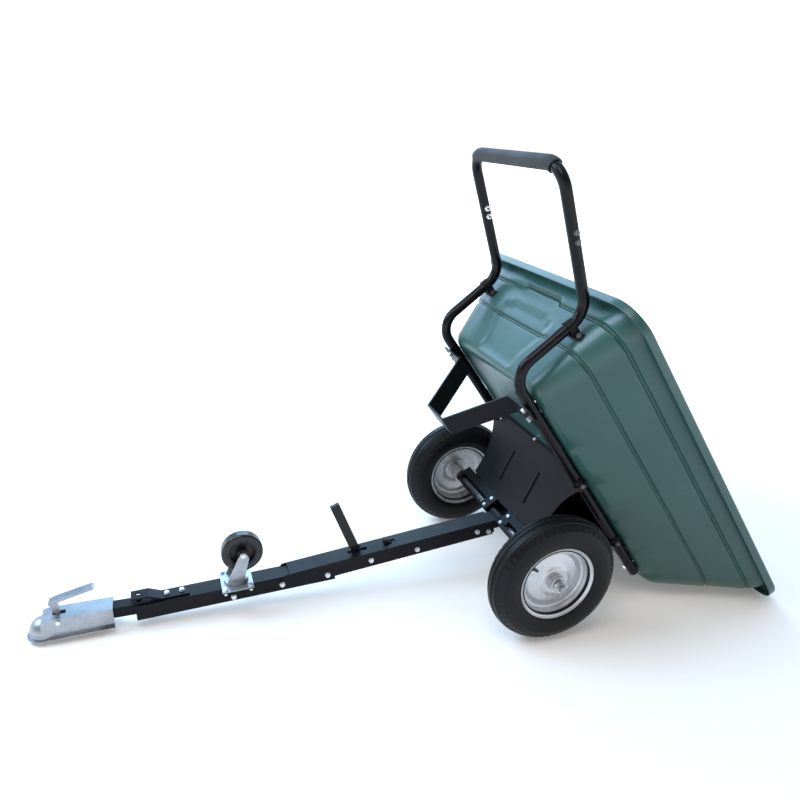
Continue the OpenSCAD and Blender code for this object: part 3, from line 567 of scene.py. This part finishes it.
@dataclass(frozen=True)
class GrainedPlastic(Finish):
    """Rotationally moulded plastic with a pebbled skin."""

    pebble_scale: float = 420.0
    pebble_height: float = 0.00008
    wave_scale: float = 11.0
    wave_height: float = 0.0012

    def _relief(self, g: Graph, layers: Layers) -> bpy.types.NodeSocket:
        """A pebbled skin over slow waves of the moulded wall.

        Args:
            g: the material's graph.
            layers: the placed effects.

        Returns:
            The normal socket.
        """
        where = layers.where
        cells = g.add(
            "TexVoronoi", {"Vector": where, "Scale": self.pebble_scale}, feature="SMOOTH_F1"
        )
        waves = g.add("TexNoise", {"Vector": where, "Scale": self.wave_scale, "Detail": 1.0})
        normal = layers.edge.outputs["Normal"]
        for height, distance in (
            (waves.outputs["Fac"], self.wave_height),
            (cells.outputs["Distance"], self.pebble_height),
        ):
            bump = g.add("Bump", {"Height": height, "Normal": normal, "Distance": distance})
            normal = bump.outputs["Normal"]
        return normal


FINISHES: dict[Slot, Finish] = {
    Slot.BLACK_PAINT: Finish(
        "black_powder_coat", colour=(0.0065, 0.007, 0.009), worn=(0.05, 0.05, 0.06),
        roughness=0.34, dust=0.008, scratch=0.15, specular=0.12,
    ),
    Slot.BLACK_GLOSS: Finish(
        "black_gloss_coat", colour=(0.004, 0.004, 0.0055), worn=(0.04, 0.04, 0.05),
        roughness=0.18, dust=0.004, scratch=0.1, coat=0.04, specular=0.16,
    ),
    Slot.ZINC_BOLTS: ZincFinish(
        "zinc_fasteners", colour=(0.72, 0.73, 0.74), worn=(0.9, 0.9, 0.9),
        roughness=0.30, metallic=0.95, dust=0.04, spangle_scale=500.0,
    ),
    Slot.ZINC_PLATE: ZincFinish(
        "zinc_plate", colour=(0.36, 0.375, 0.40), worn=(0.8, 0.83, 0.87),
        roughness=0.30, metallic=0.88, dust=0.05, scratch=0.3, rough_spread=0.2,
    ),
    Slot.DARK_STEEL: Finish(
        "greased_steel", colour=(0.12, 0.12, 0.13), worn=(0.35, 0.35, 0.36),
        roughness=0.45, metallic=0.9,
    ),
    Slot.CASTER_RUBBER: Finish(
        "caster_rubber", colour=(0.006, 0.006, 0.007), worn=(0.04, 0.04, 0.04),
        roughness=0.24, wear=0.2, dust=0.01, coat=0.25, specular=0.35,
    ),
    Slot.BLACK_PLASTIC: Finish(
        "black_moulding", colour=(0.008, 0.008, 0.009), worn=(0.05, 0.05, 0.05),
        roughness=0.34, grain_scale=900.0, dust=0.02, specular=0.3,
    ),
    Slot.TUB_PLASTIC: GrainedPlastic(
        "green_polyethylene", colour=(0.023, 0.077, 0.067), worn=(0.10, 0.20, 0.19),
        roughness=0.32, edge_radius=0.0015, wear=0.25, dust=0.04, cloud_scale=4.0,
        tone_spread=0.07, scratch=0.35, rough_spread=0.08,
    ),
    Slot.FOAM_GRIP: Finish(
        "grip_rubber", colour=(0.009, 0.0095, 0.0105), worn=(0.06, 0.06, 0.06),
        roughness=0.68, wear=0.2, dust=0.12, grain_scale=1500.0, grain_height=0.00012,
    ),
    Slot.TYRE_RUBBER: Finish(
        "tyre_rubber", colour=(0.0045, 0.005, 0.006), worn=(0.03, 0.03, 0.03),
        roughness=0.40, wear=0.3, dust=0.006, specular=0.2, cloud_scale=14.0,
        tone_spread=0.25, grain_scale=1100.0, grain_height=0.00008,
    ),
    Slot.RIM_SILVER: Finish(
        "silver_rim_paint", colour=(0.57, 0.58, 0.60), worn=(0.85, 0.85, 0.87),
        roughness=0.30, metallic=0.65, dust=0.06, cloud_scale=16.0,
        tone_spread=0.06, grain_scale=1600.0, scratch=0.2, rough_spread=0.14,
    ),
    Slot.BEARING_STEEL: Finish(
        "bearing_steel", colour=(0.5, 0.5, 0.52), worn=(0.8, 0.8, 0.8),
        roughness=0.25, metallic=1.0,
    ),
    Slot.VALVE_RUBBER: Finish(
        "valve_rubber", colour=(0.015, 0.015, 0.015), worn=(0.05, 0.05, 0.05), roughness=0.5,
    ),
}


class Paintshop:
    """Builds each finish once and puts it on pieces."""

    def __init__(self) -> None:
        """Builds every material."""
        self.materials = {slot: finish.build() for slot, finish in FINISHES.items()}

    def coat(self, piece: bpy.types.Object, slot: Slot) -> None:
        """Gives a piece the material of one slot.

        Args:
            piece: the object to dress.
            slot: which finish it takes.
        """
        piece.data.materials.clear()
        piece.data.materials.append(self.materials[slot])

    def coat_frame(self, frame: dict) -> None:
        """Gives every CAD node the finish of its own slot.
        """
        slots = {s["node"]: Slot(s["material_slot"]) for s in frame["record"]["subparts"]}
        for name, node in frame["nodes"].items():
            material = self.materials[slots[name]]
            if not node.material_slots:
                node.data.materials.append(material)
            for part in node.material_slots:
                part.material = material


# ------------------------------------------------------------------ mesh helpers


def finish_mesh(
    bm: bmesh.types.BMesh, name: str, place: Matrix, angle: float = 40.0
) -> bpy.types.Object:
    """Cleans a bmesh, sets its place in the mesh and makes the object.

    Args:
        bm: the shape, in millimetres in its own frame. It is freed.
        name: the piece's name.
        place: from the piece's own frame in millimetres to the row frame in metres.
        angle: edges flatter than this many degrees are shaded smooth.

    Returns:
        The new object, at the origin.
    """
    bmesh.ops.remove_doubles(bm, verts=bm.verts, dist=MERGE_MM)
    bmesh.ops.dissolve_degenerate(bm, edges=bm.edges, dist=SLIVER_MM)
    bmesh.ops.transform(bm, matrix=place, verts=bm.verts)
    bmesh.ops.recalc_face_normals(bm, faces=bm.faces)
    limit = math.radians(angle)
    for face in bm.faces:
        face.smooth = True
    for edge in bm.edges:
        edge.smooth = len(edge.link_faces) == 2 and edge.calc_face_angle(0.0) < limit
    mesh = bpy.data.meshes.new(name)
    bm.to_mesh(mesh)
    bm.free()
    piece = bpy.data.objects.new(name, mesh)
    bpy.context.scene.collection.objects.link(piece)
    return piece


def extruded_ring(
    bm: bmesh.types.BMesh, verts: list[bmesh.types.BMVert], edges: list[bmesh.types.BMEdge]
) -> tuple[list[bmesh.types.BMVert], list[bmesh.types.BMEdge]]:
    """Pulls a new ring of points out of an open or closed ring.

    Args:
        bm: the mesh.
        verts: the ring's points in order.
        edges: the ring's edges.

    Returns:
        The new ring's points in the same order, and its edges.
    """
    made = bmesh.ops.extrude_edge_only(bm, edges=edges)["geom"]
    new_edges = [e for e in made if isinstance(e, bmesh.types.BMEdge)]
    fresh = {v for v in made if isinstance(v, bmesh.types.BMVert)}
    partner = {}
    for vert in fresh:
        for edge in vert.link_edges:
            other = edge.other_vert(vert)
            if other not in fresh:
                partner[other] = vert
    return [partner[v] for v in verts], new_edges


def rounded_path(
    points: Sequence[Sequence[float]], radii: Sequence[float], steps: int
) -> list[Row]:
    """Rounds the corners of a path of points of any dimension.

    Args:
        points: the path.
        radii: how far each corner's curve reaches along its sides.
        steps: how many pieces each curve has.

    Returns:
        The longer, smooth path.
    """
    out = [tuple(points[0])]
    for before, here, after, radius in zip(points, points[1:], points[2:], radii[1:]):
        if radius <= 0:
            out.append(tuple(here))
            continue
        back = math.dist(before[:2], here[:2]) or 1.0
        ahead = math.dist(after[:2], here[:2]) or 1.0
        enter = [h + (b - h) * min(LONGEST_REACH, radius / back) for h, b in zip(here, before)]
        leave = [h + (n - h) * min(LONGEST_REACH, radius / ahead) for h, n in zip(here, after)]
        for i in range(steps + 1):
            t = i / steps
            out.append(
                tuple(
                    (1 - t) ** 2 * p + 2 * t * (1 - t) * h + t * t * q
                    for p, h, q in zip(enter, here, leave)
                )
            )
    out.append(tuple(points[-1]))
    return out


def turned(profile: Sequence[tuple[float, float]], steps: int, closed: bool) -> bmesh.types.BMesh:
    """Spins a profile of (radius, y) points about the Y axis.

    Args:
        profile: the points in millimetres.
        steps: how many steps the full turn has.
        closed: whether the last point joins the first.

    Returns:
        The turned shape.
    """
    bm = bmesh.new()
    verts = [bm.verts.new((radius, y, 0.0)) for radius, y in profile]
    edges = [bm.edges.new(pair) for pair in zip(verts, verts[1:])]
    if closed:
        edges.append(bm.edges.new((verts[-1], verts[0])))
    bmesh.ops.spin(
        bm,
        geom=verts + edges,
        axis=(0, 1, 0),
        cent=(0, 0, 0),
        angle=math.tau,
        steps=steps,
        use_merge=True,
    )
    return bm


def smooth_step(low: float, high: float, value: float) -> float:
    """A soft step from 0 at low to 1 at high."""
    t = min(1.0, max(0.0, (value - low) / (high - low)))
    return t * t * (3 - 2 * t)


@dataclass(frozen=True)
class Axle:
    """Where the axle is, and the frames that hang on it."""

    x: float
    z: float
    half_track: float = 352.5

    @property
    def tub_frame(self) -> Matrix:
        """From the level tub in millimetres to the row frame, tipped."""
        turn = Matrix.Rotation(TIP_ANGLE, 4, "Y")
        return Matrix.Translation((self.x, 0, self.z)) @ turn @ Matrix.Scale(MM, 4)

    def wheel_frame(self, side: int) -> Matrix:
        """From a wheel in millimetres, its outer face towards +Y, to the row frame.

        Args:
            side: 1 for +Y, -1 for -Y.

        Returns:
            The placing matrix.
        """
        turn = Matrix.Rotation(0.0 if side > 0 else math.pi, 4, "Z")
        return self.tub_frame @ Matrix.Translation((0, side * self.half_track, 0)) @ turn


# ------------------------------------------------------------------ tub


@dataclass(frozen=True)
class TubLevel:
    """One outline of the tub: its height and its rounded rectangle, in millimetres."""

    height: float
    front: float
    back: float
    half_width: float
    corner: float

    def shrunk(self, wall: float, height: float | None = None) -> "TubLevel":
        """The same outline a wall's thickness further in.

        Args:
            wall: how far in.
            height: the new height, or None to keep it.

        Returns:
            The inner outline.
        """
        return TubLevel(
            self.height if height is None else height,
            self.front + wall,
            self.back - wall,
            self.half_width - wall,
            self.corner - wall,
        )

    def row(self) -> Row:
        """The five sizes, with half width first for measuring a path."""
        return (self.half_width, self.height, self.front, self.back, self.corner)


@dataclass(frozen=True)
class PressedPanel:
    """The sunk centre panel of the tub's front wall, and the raised ledge over it."""

    wall_x: float = -470.0
    depth: float = 6.0
    half_width: float = 109.0
    flare: float = 36.0
    flare_span: Span = (300.0, 430.0)
    side_slope: float = 9.0
    arch_top: float = 452.0
    arch_drop: float = 22.0
    top_slope: float = 7.0
    foot_span: Span = (268.0, 282.0)
    ledge_span: Span = (488.0, 512.0)
    ledge_ends: Span = (100.0, 106.0)
    ledge_rise: float = 14.0

    def sunk(self, y: float, z: float) -> float:
        """How far the wall is pressed in at a point.

        Args:
            y: across the tub.
            z: the height.

        Returns:
            The depth in millimetres.
        """
        half = self.half_width + self.flare * smooth_step(*self.flare_span, z)
        across = 1 - smooth_step(half - self.side_slope, half, abs(y))
        arch = self.arch_top - self.arch_drop * (abs(y) / half) ** 4
        up = 1 - smooth_step(arch - self.top_slope, arch, z)
        return self.depth * across * up * smooth_step(*self.foot_span, z)

    def raised(self, y: float, z: float) -> float:
        """How far the ledge is lifted at a point.

        Args:
            y: across the tub.
            z: the height.

        Returns:
            The lift in millimetres.
        """
        low, high = self.ledge_span
        if not low < z < high:
            return 0.0
        return self.ledge_rise * (1 - smooth_step(*self.ledge_ends, abs(y)))


@dataclass(frozen=True)
class Scallops:
    """Shallow waves along the foot of both long walls, each ending in a steep edge."""

    edges: tuple[float, ...] = (-261.0, -104.0, 61.0, 215.0, 340.0)
    wall_y: float = 230.0
    band: Span = (252.0, 312.0)
    fade: Span = (272.0, 304.0)
    rise: Span = (78.0, 4.0)
    fall: Span = (3.0, 5.0)
    depth: float = 8.0

    def touches(self, y: float, z: float) -> bool:
        """Whether a point lies in the scalloped band."""
        return abs(y) > self.wall_y and self.band[0] <= z < self.band[1]

    def sunk(self, edge: float, x: float, z: float) -> float:
        """How far one scallop presses the wall in at a point.

        Args:
            edge: where the scallop ends.
            x: along the tub.
            z: the height.

        Returns:
            The depth in millimetres.
        """
        rise = smooth_step(edge - self.rise[0], edge - self.rise[1], x)
        fall = 1 - smooth_step(edge - self.fall[0], edge + self.fall[1], x)
        return self.depth * (rise * fall) * (1 - smooth_step(*self.fade, z))


@dataclass
class Tub:
    """The moulded load tub: three storeys, a rolled rim, a pressed panel and scallops.

    A ledge_section gives the height over the ledge and the rounding of each point of a ledge.
    """

    axle: Axle
    wall: float = 4.5
    rim_back: float = 641.8
    corner_steps: int = 9
    long_steps: int = 110
    short_steps: int = 64
    groove: float = 3.0
    swell: float = 0.6
    ledge_section: tuple[Span, ...] = ((-8, 3), (-3, 2), (2, 2), (4, 4))
    inner_ledge: Span = (9.0, 7.0)
    longest_gap: float = 14.0
    most_parts: int = 14
    pressed_top: float = 534.0
    smooth_angle: float = 55.0
    panel: PressedPanel = PressedPanel()
    scallops: Scallops = Scallops()
    levels: dict[str, TubLevel] = field(default_factory=dict)

    def __post_init__(self) -> None:
        """Sets the outlines, each by its height, front, back, half width and corner."""
        back = self.rim_back
        self.levels = {
            "middle": TubLevel(252, -340, 230, 120, 30),
            "floor": TubLevel(252, -505, 388, 288, 60),
            "ledge_1_in": TubLevel(400, -541, 508, 345, 75),
            "ledge_1_out": TubLevel(400, -548, 515, 352, 80),
            "ledge_2_in": TubLevel(500, -567, 591, 386, 84),
            "ledge_2_out": TubLevel(500, -574, 598, 393, 86),
            "neck": TubLevel(557, -583, back - 25, 410, 82),
            "rim_under": TubLevel(557.5, -611, back - 4.2, 429.8, 94),
            "skirt_in": TubLevel(536, -611, back - 4.2, 429.8, 94),
            "skirt_out": TubLevel(536, -615, back, 434, 98),
            "rim_out": TubLevel(562, -615, back, 434, 98),
            "rim_in": TubLevel(562, -579, back - 28.5, 406.5, 78),
        }

    def build(self, shop: Paintshop) -> bpy.types.Object:
        """Makes the tub, ready and riding.

        Args:
            shop: where its finish comes from.

        Returns:
            The piece.
        """
        bm = bmesh.new()
        sides = 2 * (self.long_steps - 1) + 2 * (self.short_steps - 1)
        count = 4 * (self.corner_steps + 1) + sides
        ring = bmesh.ops.create_circle(bm, segments=count, radius=1.0)["verts"]
        edges = list(bm.edges)
        first = ring
        for index, row in enumerate(self._path()):
            if index:
                ring, edges = extruded_ring(bm, ring, edges)
            for vert, (x, y) in zip(ring, self._outline(row)):
                vert.co = self._pressed(Vector((x, y, row[1])))
        for cap in (first, ring):
            bm.faces.new(cap)
        piece = finish_mesh(bm, "tub_shell", self.axle.tub_frame, self.smooth_angle)
        shop.coat(piece, Slot.TUB_PLASTIC)
        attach(piece, "tub_frame")
        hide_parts("tub")
        LOG.info("tub: %d faces", len(piece.data.polygons))
        return piece

    def _ledge(self, name: str) -> list[tuple[TubLevel, float]]:
        """One step of the outer wall, with the groove pressed along it.

        Args:
            name: the step's name in levels, without its ending.

        Returns:
            Each outline, and how far its corner in the section is rounded.
        """
        under, over = self.levels[name + "_in"], self.levels[name + "_out"]
        groove = under.shrunk(self.groove)
        outlines = (under.shrunk(-self.swell), groove, groove, over)
        return [
            (replace(outline, height=under.height + rise), rounding)
            for outline, (rise, rounding) in zip(outlines, self.ledge_section)
        ]

    def _path(self) -> list[Row]:
        """The wall's section, from the floor's underside over the rim to its upper side.

        Returns:
            Rows of half width, height, front, back and corner.
        """
        lv, wall = self.levels, self.wall
        section = [(lv["middle"], 0), (lv["floor"], 26)]
        section += self._ledge("ledge_1") + self._ledge("ledge_2")
        section += [
            (lv["neck"], 5),
            (lv["rim_under"], 5),
            (lv["skirt_in"], 1.2),
            (lv["skirt_out"], 1.2),
            (lv["rim_out"], 7),
            (lv["rim_in"], 6),
        ]
        for name in ("ledge_2", "ledge_1"):
            under, over = lv[name + "_in"], lv[name + "_out"]
            high, low = (under.height + rise for rise in self.inner_ledge)
            section += [(over.shrunk(wall, high), 5), (under.shrunk(wall + self.groove, low), 4)]
        inside = lv["floor"].shrunk(wall, lv["floor"].height + wall)
        section += [(inside, 24), (replace(lv["middle"], height=inside.height), 0)]
        rows = rounded_path([level.row() for level, _ in section], [r for _, r in section], 5)
        return self._subdivided(rows)

    def _subdivided(self, rows: list[Row]) -> list[Row]:
        """Puts rows between those far apart, so that pressed shapes have points to follow.

        Args:
            rows: the wall's section.

        Returns:
            The section with its long gaps divided.
        """
        out = [rows[0]]
        for a, b in zip(rows, rows[1:]):
            gap = math.dist(a[:2], b[:2])
            parts = max(1, min(self.most_parts, math.ceil(gap / self.longest_gap)))
            out += [
                tuple(p + (q - p) * k / parts for p, q in zip(a, b)) for k in range(1, parts + 1)
            ]
        return out

    def _outline(self, row: Row) -> list[tuple[float, float]]:
        """The ring's points for one row.

        Args:
            row: one row of the wall's section.

        Returns:
            The points' x and y, corner by corner.
        """
        half, _, front, back, corner = row
        centres = [
            (back - corner, half - corner),
            (front + corner, half - corner),
            (front + corner, corner - half),
            (back - corner, corner - half),
        ]
        out: list[tuple[float, float]] = []
        for k, (cx, cy) in enumerate(centres):
            for i in range(self.corner_steps + 1):
                a = math.radians(90 * k + 90 * i / self.corner_steps)
                out.append((cx + corner * math.cos(a), cy + corner * math.sin(a)))
            nx, ny = centres[(k + 1) % 4]
            a = math.radians(90 * (k + 1))
            end = (nx + corner * math.cos(a), ny + corner * math.sin(a))
            steps = self.long_steps if k % 2 == 0 else self.short_steps
            sx, sy = out[-1]
            out += [
                (sx + (end[0] - sx) * j / steps, sy + (end[1] - sy) * j / steps)
                for j in range(1, steps)
            ]
        return out

    def _pressed(self, p: Vector) -> Vector:
        """Moves a wall point to follow the pressed panel and the scallops.

        Args:
            p: the point, which is changed.

        Returns:
            The same point.
        """
        if p.z > self.pressed_top:
            return p
        x, y, z = p
        if x < self.panel.wall_x:
            p.x += self.panel.sunk(y, z)
            p.z += self.panel.raised(y, z)
        if self.scallops.touches(y, z):
            for edge in self.scallops.edges:
                p.y -= math.copysign(self.scallops.sunk(edge, x, z), y)
        return p


# ------------------------------------------------------------------ wheels


@dataclass
class PneumaticWheel:
    """Tyre with a grooved tread, and a dished rim.

    A groove is its distance from the middle and its depth. The inner wall is given from the
    crown's centre, and the rim by radius, distance from the middle and rounding.
    """

    axle: Axle
    side: int
    tyre_radius: float = 200.0
    crown: float = 50.0
    section: float = 49.0
    steps: int = 216
    grooves: tuple[Span, ...] = (
        (0, 0), (6.6, 0), (7.4, 2.7), (11.6, 2.7), (12.4, 0),
        (24, 0), (24.8, 2.7), (28.6, 2.7), (29.4, 0),
    )
    wall_angles: range = range(44, 118, 5)
    ring_angles: tuple[int, ...] = (59, 79, 99)
    ring_height: float = 0.9
    bead: tuple[Span, ...] = (
        (118.9, 36.6), (114.5, 33.5), (105.0, 33.4), (104.6, 24.8), (110.0, 24.6), (120.0, 33.0),
    )
    inner_wall: tuple[Span, ...] = ((-12.0, 38.0), (20.0, 34.0), (38.0, 14.0))
    steps_per_block: int = 4
    block_radius: float = 178.0
    block_band: Span = (29.2, 43.0)
    block_start: float = 29.0
    block_slant: float = 0.0022
    gap_share: float = 0.22
    gap_depth: float = 2.4
    tyre_smooth: float = 32.0
    rim_steps: int = 96
    rim_smooth: float = 30.0
    rim_section: tuple[tuple[float, float, float], ...] = (
        (26.0, 24.0, 0), (40.0, 24.0, 3), (50.0, 18.0, 6), (80.0, 12.0, 8),
        (90.0, 6.0, 5), (96.0, 5.4, 3), (101.2, 9.0, 1.5), (101.8, 17.0, 3),
        (106.0, 21.0, 3), (107.5, 33.0, 3), (113.0, 35.5, 3), (116.4, 39.6, 1.5),
        (118.4, 37.0, 1.5), (115.5, 33.9, 2), (109.5, 32.0, 3), (104.3, 24.0, 3),
        (104.3, -24.0, 3), (109.5, -32.0, 3), (115.5, -33.9, 2), (118.4, -37.0, 1.5),
        (116.4, -39.6, 1.5), (113.0, -35.5, 3), (107.5, -33.0, 3), (106.0, -20.0, 3),
        (101.2, -16.0, 3), (101.2, -2.5, 1.5), (97.0, 2.0, 2), (89.0, 2.8, 5),
        (79.0, 8.8, 8), (48.8, 14.8, 6), (39.0, 20.8, 3), (26.0, 20.8, 0),
    )

    @property
    def body(self) -> str:
        """The CAD body that this wheel rides on."""
        return "wheel_left" if self.side > 0 else "wheel_right"

    def build(self, shop: Paintshop) -> None:
        """Makes the tyre and the rim.

        Args:
            shop: where the finishes come from.
        """
        for piece, slot, node in (
            (self._tyre(), Slot.TYRE_RUBBER, "tyre"),
            (self._rim(), Slot.RIM_SILVER, "rim"),
        ):
            shop.coat(piece, slot)
            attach(piece, self.body)
            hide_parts(f"{self.body}_{node}")
            LOG.info("%s: %d faces", piece.name, len(piece.data.polygons))

    def _tyre_profile(self) -> Profile:
        """Half circle crown, round shoulders, ringed sidewalls and a bead on each side.

        Returns:
            The closed section.
        """
        crown, centre = self.crown, self.tyre_radius - self.crown
        right: Profile = []
        for y, depth in self.grooves:
            arc = crown * math.sqrt(max(0.0, 1 - (y / crown) ** 2))
            right.append((centre + arc - depth, float(y)))
        for degrees in self.wall_angles:
            a = math.radians(degrees)
            ring = self.ring_height if degrees in self.ring_angles else 0.0
            reach = crown + ring - self.ring_height
            right.append((centre + reach * math.cos(a), (self.section + ring) * math.sin(a)))
        right += self.bead
        right += [(centre + out, y) for out, y in self.inner_wall]
        left = [(radius, -y) for radius, y in reversed(right) if y > 0]
        return right + left

    def _tyre(self) -> bpy.types.Object:
        """The tyre, with its tread blocks cut across the shoulders.

        Returns:
            The piece.
        """
        bm = turned(self._tyre_profile(), self.steps, True)
        pitch = math.tau / (self.steps / self.steps_per_block)
        near, far = self.block_band
        for vert in bm.verts:
            radius = math.hypot(vert.co.x, vert.co.z)
            wide = abs(vert.co.y)
            if radius < self.block_radius or not near < wide < far:
                continue
            slant = (wide - self.block_start) * self.block_slant
            turn = (math.atan2(vert.co.z, vert.co.x) + slant) % pitch / pitch
            if turn < self.gap_share:
                scale = 1 - self.gap_depth / radius
                vert.co.x *= scale
                vert.co.z *= scale
        place = self.axle.wheel_frame(self.side)
        return finish_mesh(bm, f"{self.body}_tyre_tread", place, self.tyre_smooth)

    def _rim(self) -> bpy.types.Object:
        """Rolled edges, stepped barrel and a dished centre, as one closed section.

        Returns:
            The piece.
        """
        points = [point[:2] for point in self.rim_section]
        face = rounded_path(points, [point[2] for point in self.rim_section], 4)
        bm = turned(face, self.rim_steps, True)
        place = self.axle.wheel_frame(self.side)
        return finish_mesh(bm, f"{self.body}_rim_dish", place, self.rim_smooth)


# ------------------------------------------------------------------ studio


@dataclass(frozen=True)
class Lamp:
    """A soft square light: where it stands, its side in metres, its watts and its tint."""

    name: str
    place: tuple[float, float, float]
    size: float
    power: float
    colour: Colour


LAMPS = (
    Lamp("key", (-1.2, -1.6, 4.2), 2.2, 58.0, (1.0, 0.975, 0.93)),
    Lamp("sky_left", (-3.2, 0.9, 3.6), 2.4, 150.0, (0.62, 0.80, 1.0)),
    Lamp("back_sky", (0.2, 4.2, 3.0), 3.0, 115.0, (0.48, 0.73, 1.0)),
    Lamp("fill", (2.6, -3.2, 1.6), 2.6, 10.0, (1.0, 1.0, 1.0)),
)


@dataclass
class Studio:
    """Pale floor, soft lights and the camera."""

    position: tuple[float, float, float]
    yaw: float = 0.3145
    pitch: float = 0.3631
    roll: float = -0.0392
    lens: float = 32.26
    sensor: float = 36.0
    shift: tuple[float, float] = (0.026, -0.0041)
    lit_point: tuple[float, float, float] = (0.1, 0.0, 0.4)
    horizon: Colour = (1.06, 1.06, 1.06)
    sky_colour: Colour = (0.66, 1.02, 1.45)
    near_side: Colour = (0.26, 0.27, 0.29)
    sky_strength: float = 1.0
    sky_behind: Span = (-0.3, 0.2)
    sky_rise: Span = (0.17, 0.30)
    floor_size: float = 30.0
    floor_drop: float = 0.0006
    floor_colour: Colour = (0.94, 0.86, 0.80)
    floor_roughness: float = 0.9
    floor_specular: float = 0.1
    floor_glow: float = 0.16
    floor_fade: Span = (1.7, 4.5)

    def build(self) -> None:
        """Sets floor, lights, sky and camera."""
        self._camera()
        self._floor()
        self._sky()
        for lamp in LAMPS:
            self._light(lamp)

    def _camera(self) -> None:
        """Places the camera from its angles."""
        cy, sy = math.cos(self.yaw), math.sin(self.yaw)
        cp, sp = math.cos(self.pitch), math.sin(self.pitch)
        forward = Vector((sy * cp, cy * cp, -sp))
        right = Vector((cy, -sy, 0.0))
        down = forward.cross(right)
        cr, sr = math.cos(self.roll), math.sin(self.roll)
        across, below = cr * right + sr * down, -sr * right + cr * down
        turn = Matrix((across, -below, -forward)).transposed().to_4x4()
        data = bpy.data.cameras.new("view")
        data.lens, data.sensor_width = self.lens, self.sensor
        data.shift_x, data.shift_y = self.shift
        camera = bpy.data.objects.new("view", data)
        camera.matrix_world = Matrix.Translation(self.position) @ turn
        bpy.context.scene.collection.objects.link(camera)
        bpy.context.scene.camera = camera

    def _floor(self) -> None:
        """A wide pale floor."""
        bm = bmesh.new()
        bmesh.ops.create_grid(bm, x_segments=1, y_segments=1, size=self.floor_size)
        place = Matrix.Translation((0, 0, -self.floor_drop))
        floor = finish_mesh(bm, "studio_floor", place)
        material = bpy.data.materials.new("pale_floor")
        material.use_nodes = True
        shader = material.node_tree.nodes["Principled BSDF"]
        shader.inputs["Base Color"].default_value = rgba(self.floor_colour)
        shader.inputs["Roughness"].default_value = self.floor_roughness
        shader.inputs["Specular IOR Level"].default_value = self.floor_specular
        shader.inputs["Emission Color"].default_value = (1.0, 1.0, 1.0, 1)
        g = Graph(material.node_tree)
        spot = g.add("VectorMath", {0: g.add("TexCoord").outputs["Object"]}, operation="LENGTH")
        far = g.ramp(spot.outputs["Value"], *self.floor_fade)
        glow = g.math("ADD", far, self.floor_glow)
        material.node_tree.links.new(glow, shader.inputs["Emission Strength"])
        floor.data.materials.append(material)

    def _sky(self) -> None:
        """A white horizon all round, blue sky over it behind the cart, a dim room before it."""
        world = bpy.data.worlds.new("surround")
        world.use_nodes = True
        g = Graph(world.node_tree)
        ground = world.node_tree.nodes["Background"]
        heading = g.add("SeparateXYZ", {"Vector": g.add("TexCoord").outputs["Generated"]})
        behind = g.ramp(heading.outputs["Y"], *self.sky_behind)
        sky = g.mix(behind, rgba(self.near_side), rgba(self.sky_colour))
        above = g.ramp(heading.outputs["Z"], *self.sky_rise)
        tone = g.mix(above, rgba(self.horizon), sky)
        world.node_tree.links.new(tone, ground.inputs["Color"])
        ground.inputs["Strength"].default_value = self.sky_strength
        bpy.context.scene.world = world
        bpy.context.scene.view_settings.view_transform = "Standard"

    def _light(self, lamp: Lamp) -> None:
        """Adds one light, aimed at the cart's middle.

        Args:
            lamp: the light to make.
        """
        data = bpy.data.lights.new(lamp.name, "AREA")
        data.size, data.energy, data.color = lamp.size, lamp.power, lamp.colour
        light = bpy.data.objects.new(lamp.name, data)
        light.location = lamp.place
        aim = Vector(self.lit_point) - Vector(lamp.place)
        light.rotation_euler = aim.to_track_quat("-Z", "Y").to_euler()
        bpy.context.scene.collection.objects.link(light)


# ------------------------------------------------------------------ whole cart


def main() -> None:
    """Builds the cart and the studio."""
    logging.basicConfig(level=logging.INFO, format="%(name)s %(message)s")
    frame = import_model()
    tip = next(j for j in frame["joints"] if j["name"] == "tub_tip")
    axle = Axle(tip["pos_m"][0], tip["pos_m"][2])
    Studio((axle.x + CAMERA_FROM_AXLE, CAMERA_Y, CAMERA_Z)).build()
    shop = Paintshop()
    shop.coat_frame(frame)
    Tub(axle).build(shop)
    for side in (1, -1):
        PneumaticWheel(axle, side).build(shop)


if __name__ == "__main__":
    main()
